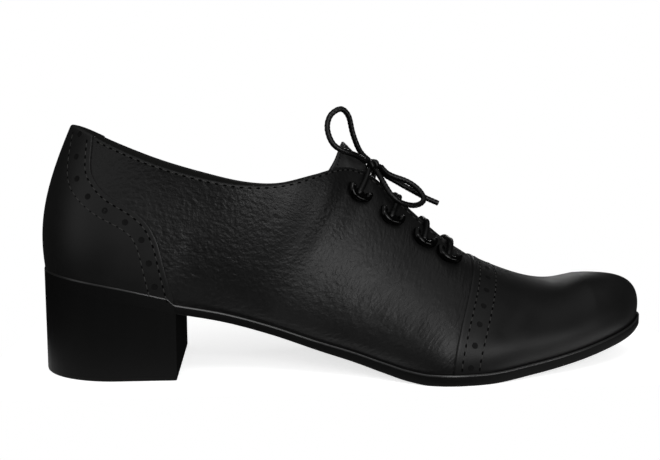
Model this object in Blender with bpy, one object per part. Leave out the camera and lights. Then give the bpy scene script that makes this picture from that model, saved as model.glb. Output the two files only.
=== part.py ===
"""Heeled oxford shoe, right foot, women's size 38 to 39, standing empty on its sole.

The last is drawn in shoe coordinates, in millimetres: X runs from the back of the heel to
the toe, Y from the outer side (negative) to the inner side (positive), Z up from the floor.
Each row of SECTIONS crosses the shoe once, from the toe tip to the back of the heel, and
gives the sole's edge, the top line and the fullness of the upper between them.
"""
import math
from collections import namedtuple

import bmesh
import bpy
import numpy as np

MM = 0.001

# Driving sizes, in millimetres. The origin is the middle of the shoe's box, on the floor.
ORIGIN_X = 133.55
ORIGIN_Y = -2.68
LENGTH = 265.0
BALL_WIDTH = 88.0
BACK_HEIGHT = 103.0
HEEL_BREAST = 59.3
HEEL_HALF_WIDTH = 29.0
HEEL_ROUND = 33.5
HEEL_BACK = 2.5
WALL = 1.8
RAISED = 0.8
WELT = 1.3
SEAT_WELT = 0.3
SEAT_RAND = 2.0
RAND_START = 55.6
RAND_END = 59.2
RAND_FADE = 105.0
SOLE_THICKNESS = 4.0
FORE_THICKNESS = 4.8
THICKER_FROM = 100.0
THICKER_TO = 160.0
INSOLE_THICKNESS = 2.0
TONGUE_THICKNESS = 1.6
TONGUE_GAP = 0.7
TONGUE_REACH = 0.985
GAP = 0.3
LACE_RADIUS = 1.1
RING_RADIUS = 4.8
RING_HEIGHT = 3.8
RING_TUBE = 1.3
TOE_SPRING_PITCH = 0.07

# One row for each section, from the toe tip to the back of the heel. The columns along and
# crest are percents of LENGTH, outer, inner, centre and opening are percents of BALL_WIDTH,
# and rise and dip are percents of BACK_HEIGHT. outer and inner are the sole's edge; crest,
# centre, rise and opening the ridge, facing or collar edge; dip lowers the inner collar.
# lean and fall are the wall's slopes at the foot and at the top, in degrees, heading is the
# way that its top faces, and reach and pull say how far the two slopes carry.
Section = namedtuple("Section", "along outer inner crest centre rise opening dip "
                                "lean reach heading fall pull")
SECTIONS = (
    Section(100.0, -6.4, 6.4, 89.0, 4.6, 34.9, 0.0, 0.0, 8, .45, 0, 0, .66),
    Section(98.4, 4.9, 17.4, 89.0, 4.6, 34.9, 0.0, 0.0, 9, .44, 20, 0, .64),
    Section(95.0, 16.5, 27.4, 89.0, 4.6, 34.9, 0.0, 0.0, 11, .42, 51, 0, .58),
    Section(89.0, 27.8, 35.4, 89.0, 4.6, 34.9, 0.0, 0.0, 12, .38, 90, 0, .50),
    Section(82.3, 36.7, 40.9, 85.3, 4.0, 33.1, 0.0, 0.0, 12, .34, 90, 0, .47),
    Section(76.2, 43.5, 44.7, 81.1, 3.4, 33.8, 0.0, 0.0, 12, .32, 90, 0, .45),
    Section(70.2, 50.0, 46.6, 75.9, 2.5, 37.7, 0.0, 0.0, 12, .31, 90, 0, .43),
    Section(63.8, 52.8, 46.0, 69.9, 1.4, 44.3, 0.0, 0.0, 12, .30, 90, 0, .40),
    Section(58.5, 49.0, 42.0, 65.3, 0.6, 52.0, 3.6, 0.0, 14, .29, 90, 14, .37),
    Section(53.2, 41.8, 37.0, 60.8, 0.0, 61.9, 4.0, 0.0, 16, .28, 90, 24, .34),
    Section(48.3, 37.0, 32.4, 56.6, 0.0, 71.7, 4.3, 0.0, 17, .27, 90, 30, .32),
    Section(43.4, 33.7, 29.0, 52.9, 0.0, 79.5, 5.7, 1.0, 18, .26, 90, 36, .31),
    Section(39.2, 32.3, 27.2, 49.5, 0.0, 82.7, 13.2, 2.4, 19, .26, 90, 51, .30),
    Section(35.1, 31.5, 26.7, 45.5, 0.0, 81.9, 25.3, 3.6, 20, .26, 90, 70, .30),
    Section(30.6, 31.4, 27.3, 39.6, 0.0, 77.9, 33.8, 4.0, 19, .27, 90, 83, .30),
    Section(25.7, 32.4, 29.2, 32.6, 0.0, 77.1, 35.6, 3.0, 16, .28, 91, 87, .30),
    Section(20.4, 34.3, 33.0, 24.7, 0.0, 80.9, 32.6, 1.7, 12, .29, 95, 86, .31),
    Section(14.7, 35.2, 35.2, 17.2, 0.0, 87.1, 27.0, 1.3, 9, .30, 105, 82, .33),
    Section(8.7, 31.6, 31.6, 11.0, 0.0, 94.1, 18.4, 1.0, 8, .31, 124, 75, .38),
    Section(3.4, 19.9, 19.9, 7.1, 0.0, 98.7, 8.4, 0.3, 7, .32, 150, 69, .44),
    Section(0.94, 0.0, 0.0, 5.75, 0.0, 99.8, 0.0, 0.0, 7, .32, 180, 66, .46),
)
BACK = len(SECTIONS) - 1

# Section numbers: where the toe's ridge starts, where the raised vamp ends at the throat,
# where columns start to lean with the counter, and where the last sinks under the counter.
POLE = 3
THROAT = 7
WAIST = 13.0
SINK_START = 15.5
SINK_END = 18.0

# The sole's underside, in millimetres along and up: seat, breast, arch, tread and toe spring.
UNDERSIDE = ((0, 38.0), (20, 35.6), (40, 32.2), (59, 27.6), (78, 23.5), (98, 17.7),
             (117, 11.2), (130, 7.4), (142, 3.6), (152, 1.0), (160, 0.0), (182, 0.0),
             (205, 1.7), (225, 4.4), (245, 8.3), (265, 13.0))

# Where the raised counter ends: how far up the wall, and which section it crosses there.
COUNTER_EDGE = ((0.0, 15.67), (0.28, 16.07), (0.46, 16.38), (0.565, 16.7), (0.62, 17.07),
                (0.66, 17.54), (0.72, 17.87), (0.8, 18.11), (1.0, 18.25))

# The lace's four holes: the section and the height up the wall of each, and the section
# where its bar leaves the facing.
LACE_HOLES = ((11.43, 0.828, 11.15), (9.97, 0.800, 9.80), (8.78, 0.812, 8.75),
              (7.92, 0.800, 7.85))

# The tongue above the facings, from the collar to its tip, in millimetres: its outer edge,
# the crease beside it, its crown, its inner edge, and the way its thickness goes.
TongueRow = namedtuple("TongueRow", "outer crease crown inner back")
TONGUE_TOP = (
    TongueRow((120.5, -16.0, 79.0), (134.4, -6.0, 82.2), (138.6, 0.6, 84.6),
              (122.5, 16.0, 78.5), (0.70, 0.0, 0.71)),
    TongueRow((125.6, -12.0, 88.0), (130.6, -7.0, 89.4), (134.0, 0.4, 91.0),
              (127.6, 12.5, 87.5), (0.78, 0.0, 0.62)),
    TongueRow((128.3, -6.5, 93.8), (128.8, -4.6, 94.8), (129.5, -1.0, 95.4),
              (129.6, 4.5, 94.4), (0.86, 0.0, 0.50)),
)

# The knot's core and the free cords' routes, in millimetres. The bow's two loops and its
# outer end follow the photograph; the inner end lies down the inner facing.
KNOT = ((139.6, -4.8, 84.9), (141.6, -3.0, 85.4), (143.2, -1.4, 85.8))
KNOT_RADIUS = 2.0
CORD_STEP = 2.6
BAR_END_OUTER = (139.4, -7.6, 83.6)
BAR_END_INNER = (141.0, -1.0, 83.2)
BOW_LOOP_UPPER = ((139.8, -3.4, 87.6), (136.5, -5.5, 90.6), (134.1, -7.0, 94.9),
                  (132.2, -8.0, 100.3), (131.1, -9.0, 104.9), (129.5, -10.0, 107.8),
                  (127.3, -11.0, 109.1), (124.7, -12.0, 108.2), (122.6, -13.0, 106.2),
                  (121.5, -14.0, 103.3), (121.4, -15.0, 100.5), (122.2, -16.0, 97.4),
                  (123.8, -17.0, 94.6), (126.2, -17.2, 92.8), (129.2, -16.4, 91.5),
                  (132.3, -14.2, 90.5), (135.3, -10.8, 89.0), (138.1, -6.6, 87.1))
BOW_LOOP_LOWER = ((145.3, -2.6, 84.7), (148.2, -1.6, 81.8), (152.1, -1.0, 80.0),
                  (155.8, -1.5, 78.7), (159.1, -2.5, 76.9), (161.7, -4.0, 74.6),
                  (163.1, -6.0, 72.2), (162.8, -8.0, 70.2), (160.3, -10.0, 68.9),
                  (156.9, -12.2, 68.9), (153.2, -14.2, 69.9), (150.5, -15.2, 71.4),
                  (147.9, -14.6, 73.9), (146.1, -12.4, 76.9), (144.4, -9.6, 80.2),
                  (142.8, -6.4, 83.2))
LACE_END_OUTER = ((144.9, 0.8, 84.9), (147.8, 2.4, 80.9), (151.3, 2.6, 78.7),
                  (156.4, 2.5, 75.8), (161.5, 2.0, 73.0), (166.0, 2.0, 70.6),
                  (171.3, 2.0, 68.3))
LACE_END_INNER = ((141.6, 1.0, 86.7), (142.6, 4.6, 84.8), (143.6, 8.6, 80.9),
                  (143.4, 11.8, 77.6), (142.6, 14.8, 74.1), (141.0, 17.6, 70.6),
                  (139.0, 20.2, 66.8), (136.8, 22.4, 62.5))


def cubic_spline(values, closed=False, flat_start=False, flat_end=False):
    """Return a smooth function through values at 0, 1, 2 and so on."""
    values = np.asarray(values, float)
    count = len(values)
    matrix = np.eye(count) * 4 + np.eye(count, k=1) + np.eye(count, k=-1)
    bend = np.roll(values, -1, 0) - 2 * values + np.roll(values, 1, 0)
    if closed:
        matrix[0, -1] = 1
        matrix[-1, 0] = 1
    else:
        matrix[0, :2] = (2, 1) if flat_start else (1, 0)
        matrix[-1, -2:] = (1, 2) if flat_end else (0, 1)
        bend[0] = values[1] - values[0] if flat_start else 0
        bend[-1] = values[-2] - values[-1] if flat_end else 0
    curvature = np.linalg.solve(matrix, 6 * bend)

    def evaluate(place):
        place = np.asarray(place, float)
        if closed:
            low = np.floor(place).astype(int)
            share = place - low
            low = low % count
            high = (low + 1) % count
        else:
            low = np.clip(np.floor(place).astype(int), 0, count - 2)
            share = place - low
            high = low + 1
        share = share.reshape(share.shape + (1,) * (values.ndim - 1))
        rest = 1 - share
        return (rest * values[low] + share * values[high]
                + ((rest ** 3 - rest) * curvature[low]
                   + (share ** 3 - share) * curvature[high]) / 6)

    return evaluate


def steady_curve(rows):
    """Return a smooth function through (place, value) rows that never overshoots them."""
    places, values = np.asarray(rows, float).T
    steps = np.diff(places)
    slopes = np.diff(values) / steps
    tangents = np.zeros_like(values)
    same_way = slopes[:-1] * slopes[1:] > 0
    before = 2 * steps[1:] + steps[:-1]
    after = steps[1:] + 2 * steps[:-1]
    with np.errstate(divide="ignore", invalid="ignore"):
        blended = (before + after) / (before / slopes[:-1] + after / slopes[1:])
    tangents[1:-1] = np.where(same_way, blended, 0)
    tangents[0] = slopes[0]
    tangents[-1] = slopes[-1]

    def evaluate(place):
        place = np.clip(np.asarray(place, float), places[0], places[-1])
        low = np.clip(np.searchsorted(places, place) - 1, 0, len(places) - 2)
        share = (place - places[low]) / steps[low]
        rise = share * share * (3 - 2 * share)
        return ((1 - rise) * values[low] + rise * values[low + 1]
                + share * (1 - share) ** 2 * steps[low] * tangents[low]
                - share ** 2 * (1 - share) * steps[low] * tangents[low + 1])

    return evaluate


def column(name):
    """Return one column of SECTIONS as an array."""
    return np.array([getattr(section, name) for section in SECTIONS], float)


def edge_points():
    """Return the sole's edge as a loop: tip, outer side, back, inner side."""
    along = column("along") * LENGTH / 100
    outer = np.column_stack((along, -column("outer") * BALL_WIDTH / 100))
    inner = np.column_stack((along, column("inner") * BALL_WIDTH / 100))
    return np.vstack((outer, inner[-2:0:-1]))


underside = steady_curve(UNDERSIDE)
counter_edge = steady_curve(COUNTER_EDGE)
sole_edge = cubic_spline(edge_points(), closed=True)
crest_line = cubic_spline(
    np.column_stack((column("crest") * LENGTH, column("centre") * BALL_WIDTH,
                     column("rise") * BACK_HEIGHT))[POLE:] / 100, flat_end=True)
opening = steady_curve(list(enumerate(column("opening") * BALL_WIDTH / 100)))
collar_dip = steady_curve(list(enumerate(column("dip") * BACK_HEIGHT / 100)))
fullness = cubic_spline(
    np.column_stack([column(name) for name in ("lean", "reach", "fall", "pull")]),
    flat_start=True, flat_end=True)
heading_angle = cubic_spline(column("heading"))


def smooth_step(value, start, end):
    """Return 0 before start, 1 after end and a soft ramp between."""
    share = np.clip((value - start) / (end - start), 0, 1)
    return share * share * (3 - 2 * share)


def sole_thickness(x):
    """Return the outsole's thickness: thin in the waist, thicker at the tread."""
    thicker = smooth_step(x, THICKER_FROM, THICKER_TO)
    return SOLE_THICKNESS + (FORE_THICKNESS - SOLE_THICKNESS) * thicker


def seat_height(x):
    """Return the height of the line that the insole's top would lie on, without the rand."""
    return underside(x) + sole_thickness(x) + SEAT_RAND * (1 - smooth_step(x, RAND_END, RAND_FADE))


def sole_top(x):
    """Return the height of the outsole's top, which is raised by the rand at the seat."""
    rand = SEAT_RAND * (1 - smooth_step(x, RAND_START, RAND_END))
    return underside(x) + sole_thickness(x) + rand


def fold(place):
    """Return the section number and the side, -1 outer or 1 inner, of a place on the loop."""
    place = np.mod(place, 2 * BACK)
    side = np.where(place <= BACK, -1.0, 1.0)
    return np.where(place <= BACK, place, 2 * BACK - place), side


def edge_normal(place):
    """Return the direction, seen from above, that the sole's edge faces."""
    step = 1e-3
    along = sole_edge(place + step) - sole_edge(place - step)
    normal = np.stack((-along[..., 1], along[..., 0]), -1)
    return normal / np.linalg.norm(normal, axis=-1, keepdims=True)


def inset_edge(place, inset):
    """Return the sole's edge moved inwards by inset."""
    inset = np.asarray(inset, float)
    return sole_edge(place) - edge_normal(place) * inset[..., None]


def place_at(x, side):
    """Return the place on the loop where the sole's edge is at x on one side."""
    samples = np.linspace(0, BACK, 801)
    section = np.interp(-x, -sole_edge(samples)[:, 0], samples)
    return section if side < 0 else 2 * BACK - section


def upper_surface(place, height):
    """Return points on the last: place runs round the shoe, height 0 to 1 up its wall."""
    place, height = np.broadcast_arrays(np.asarray(place, float), np.asarray(height, float))
    section, side = fold(place)
    lean, reach, fall, pull = np.moveaxis(fullness(section), -1, 0)
    lean = np.radians(lean)
    fall = np.radians(fall)
    heading = np.radians(heading_angle(section)) * side

    under_vamp = 1 - smooth_step(section, THROAT - 0.4, THROAT + 0.4)
    under_counter = smooth_step(section, SINK_START, SINK_END)
    under = RAISED * (under_vamp + under_counter)
    edge = sole_edge(place)
    welt = WELT + (SEAT_WELT - WELT) * (1 - smooth_step(edge[..., 0], RAND_START, RAND_END))
    normal = edge_normal(place)
    foot_plan = edge - normal * (welt + under)[..., None]
    foot = np.concatenate((foot_plan, (sole_top(foot_plan[..., 0]) + GAP)[..., None]), -1)

    top = crest_line(np.maximum(section, POLE) - POLE).copy()
    top[..., 1] += side * opening(section)
    top[..., 2] -= np.where(side > 0, collar_dip(section), 0)
    top_normal = np.stack((np.cos(heading) * np.sin(fall), np.sin(heading) * np.sin(fall),
                           np.cos(fall)), -1)
    top = top - top_normal * under[..., None]

    span = np.linalg.norm(top - foot, axis=-1)
    foot_way = np.stack((normal[..., 0] * np.sin(lean), normal[..., 1] * np.sin(lean),
                         np.cos(lean)), -1)
    spring = TOE_SPRING_PITCH * np.cos(heading) * smooth_step(section, POLE + 1, POLE - 1)
    top_way = np.stack((np.cos(heading) * np.cos(fall), np.sin(heading) * np.cos(fall),
                        -np.sin(fall) + spring), -1)
    foot_pull = foot + foot_way * (span * reach)[..., None]
    top_pull = top + top_way * (span * pull)[..., None]
    up = height[..., None]
    down = 1 - up
    return (down ** 3 * foot + 3 * down ** 2 * up * foot_pull
            + 3 * down * up ** 2 * top_pull + up ** 3 * top)


def upper_normal(place, height):
    """Return the outward normal of the last at the same places."""
    place, height = np.broadcast_arrays(np.asarray(place, float), np.asarray(height, float))
    step = 2e-3
    low = np.clip(height - step, 0, 1 - 4 * step)
    high = np.clip(height + step, 2 * step, 1 - 2 * step)
    middle = (low + high) / 2
    round_way = upper_surface(place + step, middle) - upper_surface(place - step, middle)
    up_way = upper_surface(place, high) - upper_surface(place, low)
    normal = np.cross(up_way, round_way)
    return normal / np.linalg.norm(normal, axis=-1, keepdims=True)


def upper_point(place, height, out=0.0):
    """Return points at a distance out from the last's surface."""
    out = np.asarray(out, float)
    return upper_surface(place, height) + upper_normal(place, height) * out[..., None]


def place_object(thing):
    """Put an object in the scene with the middle of the shoe's box at the origin."""
    thing.location = (-ORIGIN_X * MM, -ORIGIN_Y * MM, 0)
    bpy.context.collection.objects.link(thing)
    return thing


def new_object(name, points, faces, look, smooth_angle=40):
    """Add one closed mesh object from points in millimetres."""
    mesh = bpy.data.meshes.new(name)
    mesh.from_pydata([tuple(point) for point in np.asarray(points) * MM], [], faces)
    body = bmesh.new()
    body.from_mesh(mesh)
    bmesh.ops.remove_doubles(body, verts=body.verts, dist=1e-6)
    bmesh.ops.dissolve_degenerate(body, edges=body.edges, dist=1e-7)
    bmesh.ops.recalc_face_normals(body, faces=body.faces)
    body.to_mesh(mesh)
    body.free()
    mesh.materials.append(look)
    mesh.shade_smooth()
    mesh.set_sharp_from_angle(angle=math.radians(smooth_angle))
    return place_object(bpy.data.objects.new(name, mesh))


def bridge(first, second, closed=True):
    """Return the quads between two rows of point numbers."""
    count = len(first)
    last = count if closed else count - 1
    return [(first[i], first[(i + 1) % count], second[(i + 1) % count], second[i])
            for i in range(last)]


def loft(rows, closed=True):
    """Return the points and faces of a skin over equal rows of points."""
    width = len(rows[0])
    numbers = [list(range(i * width, (i + 1) * width)) for i in range(len(rows))]
    faces = []
    for first, second in zip(numbers, numbers[1:]):
        faces += bridge(first, second, closed)
    return np.vstack(rows), faces, numbers


def ladder(loop):
    """Return the quads that close a loop that runs down one side and back up the other."""
    count = len(loop)
    half = count // 2
    quads = []
    for i in range(half):
        quads.append((loop[i], loop[i + 1], loop[(count - i - 1) % count], loop[-i % count]))
    return quads


def sweep(route, radii, sides=8):
    """Return the points and faces of a round tube along a route, closed at both ends."""
    route = np.asarray(route, float)
    forward = np.gradient(route, axis=0)
    forward /= np.linalg.norm(forward, axis=1, keepdims=True)
    across = np.cross(forward[0], (0.3, 0.2, 1.0))
    rings = []
    for centre, way, radius in zip(route, forward, radii):
        across = across - way * np.dot(across, way)
        across /= np.linalg.norm(across)
        beside = np.cross(way, across)
        turn = np.arange(sides) * 2 * math.pi / sides
        rings.append(centre + radius * (np.outer(np.cos(turn), across)
                                        + np.outer(np.sin(turn), beside)))
    points, faces, numbers = loft(rings)
    return points, faces + [tuple(numbers[0]), tuple(reversed(numbers[-1]))]


def side_columns():
    """Return the sections where the sole and upper have a column on each side."""
    toe = np.arange(0, POLE, 0.5)
    vamp = np.arange(POLE, THROAT, 0.5)
    facing = np.arange(THROAT + 0.25, WAIST, 0.5)
    waist = np.arange(WAIST, 15.4, 0.6)
    rand = [place_at(RAND_END, -1), place_at(RAND_START, -1)]
    heel = np.linspace(rand[1] + 0.45, BACK, 9)
    return np.concatenate((toe, vamp, [THROAT], facing, waist, rand, heel))


def loop_columns():
    """Return the columns' places all round the loop."""
    outer = side_columns()
    inner = 2 * BACK - outer[-2:0:-1]
    return np.concatenate((outer, inner))


def upper_columns():
    """Return each upper column's place, the way it runs, and 1 where it is raised."""
    columns = []
    edge_foot = counter_edge(0.0)
    for section in side_columns():
        if section == THROAT:
            columns.append((section, "plain", 1.0))
            columns.append((section + 0.03, "plain", 0.0))
        elif section < THROAT:
            columns.append((section, "plain", 1.0))
        elif section <= WAIST:
            columns.append((section, "plain", 0.0))
        elif section < edge_foot - 0.05:
            columns.append(((section - WAIST) / (edge_foot - WAIST), "waist", 0.0))
        elif section > edge_foot + 0.15:
            columns.append(((section - edge_foot) / (BACK - edge_foot), "counter", 1.0))
    first_counter = next(i for i, item in enumerate(columns) if item[1] == "counter")
    step = [(1.0, "waist", 0.0), (0.008, "counter", 1.0)]
    return columns[:first_counter] + step + columns[first_counter:]


def column_place(kind, share, height):
    """Return the section of an upper column at a height, bent along the counter's edge."""
    edge = counter_edge(height)
    if kind == "waist":
        return WAIST + share * (edge - WAIST)
    if kind == "counter":
        return edge + share * (BACK - edge)
    return share + 0 * edge


def make_upper(look):
    """Make the hollow upper: outer skin, lining skin, collar rim and feather rim."""
    heights = np.linspace(0, 1, 12)
    outer_side = upper_columns()
    inner_side = outer_side[-2:0:-1]
    outer_rows = []
    inner_rows = []
    open_flags = []
    for number, (share, kind, raised) in enumerate(outer_side + inner_side):
        section = column_place(kind, share, heights)
        on_inner = number >= len(outer_side)
        place = 2 * BACK - section if on_inner else section
        outer_rows.append(upper_point(place, heights, np.full(len(heights), RAISED * raised)))
        inner_rows.append(upper_point(place, heights, np.full(len(heights), -WALL)))
        open_flags.append(kind != "plain" or share > THROAT)
    outer_rows = np.array(outer_rows)
    inner_rows = np.array(inner_rows)
    count = len(outer_rows)
    throat = sum(1 for item in outer_side if item[1] == "plain" and item[0] <= THROAT) - 1
    toe = sum(1 for item in outer_side if item[1] == "plain" and item[0] <= POLE)
    for rows in (outer_rows, inner_rows):
        pole = np.mean([rows[i, -1] for i in range(-toe + 1, toe)], axis=0)
        for i in range(0, throat + 1):
            mirror = -i % count
            centre = (rows[i, -1] + rows[mirror, -1]) / 2
            rows[i, -1] = rows[mirror, -1] = pole if i < toe else centre
    points = np.vstack((outer_rows.reshape(-1, 3), inner_rows.reshape(-1, 3)))
    levels = len(heights)
    faces = []
    skin = count * levels
    for i in range(count):
        j = (i + 1) % count
        for level in range(levels - 1):
            quad = (i * levels + level, j * levels + level,
                    j * levels + level + 1, i * levels + level + 1)
            faces.append(quad)
            faces.append(tuple(skin + corner for corner in reversed(quad)))
        faces.append((i * levels, j * levels, skin + j * levels, skin + i * levels))
        if open_flags[i] or open_flags[j]:
            top_i = (i + 1) * levels - 1
            top_j = (j + 1) * levels - 1
            faces.append((top_i, skin + top_i, skin + top_j, top_j))
    return new_object("upper", points, faces, look)


def make_outsole(look):
    """Make the outsole with a rounded bead at its edge and the rand at the seat."""
    places = loop_columns()
    bead = ((0.7, 0.0, "low"), (0.15, 0.3, "low"), (0.0, 0.8, "low"),
            (0.0, -0.8, "high"), (0.2, -0.2, "high"), (0.7, 0.0, "high"))
    rows = []
    for inset, lift, level in bead:
        plan = inset_edge(places, np.full(len(places), inset))
        base = underside(plan[:, 0]) if level == "low" else sole_top(plan[:, 0])
        rows.append(np.column_stack((plan, base + lift)))
    points, faces, numbers = loft(rows)
    faces += ladder(numbers[0]) + ladder(numbers[-1])
    return new_object("outsole", points, faces, look, 50)


def make_insole(look):
    """Make the insole, which fills the upper's inside at the foot of its wall."""
    places = loop_columns()
    rim = WELT + WALL + 0.9
    lows = inset_edge(places, np.full(len(places), rim))
    bed = np.maximum(sole_top(lows[:, 0]), sole_top(lows[:, 0] - 1.5))
    low = np.column_stack((lows, bed + GAP))
    highs = inset_edge(places, np.full(len(places), rim - 0.2))
    top = seat_height(highs[:, 0]) + GAP + INSOLE_THICKNESS
    high = np.column_stack((highs, top))
    points, faces, numbers = loft((low, high))
    faces += ladder(numbers[0]) + ladder(numbers[-1])
    return new_object("insole", points, faces, look)


def heel_plan(places, level):
    """Return the heel's outline between the floor, level 0, and the seat, level 1."""
    seat = sole_edge(places)
    x = np.minimum(seat[:, 0], HEEL_BREAST)
    back = np.clip((HEEL_BACK + HEEL_ROUND - x) / HEEL_ROUND, 0, 1)
    floor_y = np.sign(seat[:, 1]) * HEEL_HALF_WIDTH * np.sqrt(1 - back ** 2)
    y = floor_y + (seat[:, 1] - floor_y) * level
    return np.column_stack((x, y))


def make_heel(look):
    """Make the heel block: a D in plan, upright at the breast, flush with the outsole."""
    outer = np.linspace(place_at(HEEL_BREAST, -1), BACK, 15)
    places = np.concatenate((outer, 2 * BACK - outer[-2::-1]))
    middle = np.array((30.0, 0.0))
    rows = []
    for shrink, lift, level in ((0.8, 0.0, 0.0), (0.0, 0.9, 0.0), (0.0, None, 0.35),
                                (0.0, None, 0.7), (0.0, None, 1.0)):
        plan = heel_plan(places, level)
        ways = plan - middle
        plan = plan - shrink * ways / np.linalg.norm(ways, axis=1, keepdims=True)
        top = underside(plan[:, 0]) - GAP
        height = np.full(len(plan), lift) if lift is not None else top * level
        rows.append(np.column_stack((plan, height)))
    points, faces, numbers = loft(rows, closed=False)
    for first, second in zip(numbers, numbers[1:]):
        faces.append((first[-1], first[0], second[0], second[-1]))
    half = len(places) // 2
    for row in (numbers[0], numbers[-1]):
        for i in range(half - 1):
            faces.append((row[i], row[i + 1], row[-i - 2], row[-i - 1]))
        faces.append((row[half - 1], row[half], row[half + 1]))
    return new_object("heel", points, faces, look)


def tongue_rows(drop):
    """Return the tongue's cross rows at a depth under the facings, from the vamp up."""
    across = np.array((0.0, 0.25, 0.5, 0.75, 1.0))
    rows = []
    for section in np.linspace(THROAT - 0.5, 11.0, 9):
        low = 0.80 - 0.02 * (section - THROAT)
        heights = low + (TONGUE_REACH - low) * across
        depth = np.full(len(heights), -WALL - TONGUE_GAP - drop)
        outer = upper_point(np.full(len(heights), section), heights, depth)
        inner = upper_point(np.full(len(heights), 2 * BACK - section), heights, depth)
        middle = (upper_point(section, 1.0, depth[0])
                  + upper_point(2 * BACK - section, 1.0, depth[0])) / 2
        rows.append(np.vstack((outer, middle, inner[::-1])))
    for row in TONGUE_TOP:
        corners = np.array((row.outer, row.crease, row.crown, row.inner))
        line = np.array([np.interp(np.arange(11), (0, 4, 6, 10), corners[:, axis])
                         for axis in range(3)]).T
        rows.append(line - drop * np.array(row.back))
    return rows


def make_tongue(look):
    """Make the tongue: a sheet under the facings with a soft crease down its middle."""
    top = tongue_rows(0.0)
    under = tongue_rows(TONGUE_THICKNESS)
    rings = [np.vstack((first, second[::-1])) for first, second in zip(top, under)]
    points, faces, numbers = loft(rings)
    half = len(top[0])
    for row in (numbers[0], numbers[-1]):
        for i in range(half - 1):
            faces.append((row[i], row[i + 1], row[-i - 2], row[-i - 1]))
    return new_object("tongue", points, faces, look)


def wall_frame(place, height):
    """Return a point on the wall, its normal, and the ways up the wall and round it."""
    point = upper_surface(place, height)
    normal = upper_normal(place, height)
    up = upper_surface(place, height + 0.02) - point
    up -= normal * np.dot(up, normal)
    up /= np.linalg.norm(up)
    return point, normal, up, np.cross(normal, up)


def make_eyelets(look):
    """Make the eight open lace rings, four on each facing, open towards the tongue."""
    turns = np.radians(np.linspace(-205, 25, 11))
    radii = RING_TUBE * np.array((0.55, 0.95, 1, 1, 1, 1, 1, 1, 1, 0.95, 0.55))
    for number, (section, height, _) in enumerate(LACE_HOLES, 1):
        for name, place in (("outer", section), ("inner", 2 * BACK - section)):
            point, normal, up, beside = wall_frame(place, height)
            centre = point + normal * (RING_TUBE + GAP + 0.4)
            route = [centre + RING_RADIUS * math.cos(turn) * beside
                     + RING_HEIGHT * math.sin(turn) * up for turn in turns]
            points, faces = sweep(route, radii, 6)
            new_object(f"eyelet_{name}_{number}", points, faces, look, 60)


def curve_through(points, count):
    """Return count points along a smooth curve through a few points."""
    spline = cubic_spline(points)
    return spline(np.linspace(0, len(points) - 1, count))


def make_lace_bars(look):
    """Make the bars of lace: two that climb to the knot, and three that cross the facings."""
    lift = LACE_RADIUS + GAP + 0.15
    for number, (section, height, edge) in enumerate(LACE_HOLES, 1):
        foot = upper_point(section, height, lift)
        middle = upper_point((section + edge) / 2, (height + 1) / 2, lift + 0.2)
        shoulder = upper_point(edge, 0.985, lift + 0.1)
        far_foot = upper_point(2 * BACK - section, height, lift)
        far_middle = upper_point(2 * BACK - (section + edge) / 2, (height + 1) / 2, lift + 0.2)
        far_shoulder = upper_point(2 * BACK - edge, 0.985, lift + 0.1)
        if number == 1:
            routes = {"lace_bar_1_outer": (foot, middle, BAR_END_OUTER),
                      "lace_bar_1_inner": (far_foot, far_middle, far_shoulder, BAR_END_INNER)}
        else:
            crown = (shoulder + far_shoulder) / 2 + (0.2, 0, 0.1)
            routes = {f"lace_bar_{number}": (foot, middle, shoulder, crown, far_shoulder,
                                             far_middle, far_foot)}
        for name, corners in routes.items():
            route = curve_through(corners, 2 * len(corners) + 1)
            points, faces = sweep(route, np.full(len(route), LACE_RADIUS), 6)
            new_object(name, points, faces, look, 60)


def make_knot(look):
    """Make the knot as one rounded lump where the bow's strands meet."""
    ways = np.array(KNOT)
    start = ways[0] + (ways[0] - ways[1]) * 0.5
    end = ways[-1] + (ways[-1] - ways[-2]) * 0.5
    route = curve_through((start, *ways, end), 9)
    radii = KNOT_RADIUS * np.array((0.45, 0.85, 1, 0.95, 0.9, 0.95, 1, 0.85, 0.45))
    points, faces = sweep(route, radii, 8)
    new_object("lace_knot", points, faces, look, 60)


def make_cord(name, corners, look):
    """Make a free stretch of lace as a bevelled curve with filled ends."""
    length = np.linalg.norm(np.diff(corners, axis=0), axis=1).sum()
    route = curve_through(corners, int(length / CORD_STEP) + 1)
    curve = bpy.data.curves.new(name, "CURVE")
    curve.dimensions = "3D"
    curve.bevel_depth = LACE_RADIUS * MM
    curve.bevel_resolution = 2
    curve.use_fill_caps = True
    spline = curve.splines.new("POLY")
    spline.points.add(len(route) - 1)
    for point, (x, y, z) in zip(spline.points, route * MM):
        point.co = (x, y, z, 1)
    curve.materials.append(look)
    return place_object(bpy.data.objects.new(name, curve))


def finish(name, colour, roughness, coat=0.0):
    """Return a plain surface finish."""
    look = bpy.data.materials.new(name)
    look.use_nodes = True
    shader = look.node_tree.nodes["Principled BSDF"]
    shader.inputs["Base Color"].default_value = (*colour, 1)
    shader.inputs["Roughness"].default_value = roughness
    shader.inputs["Coat Weight"].default_value = coat
    return look


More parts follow.
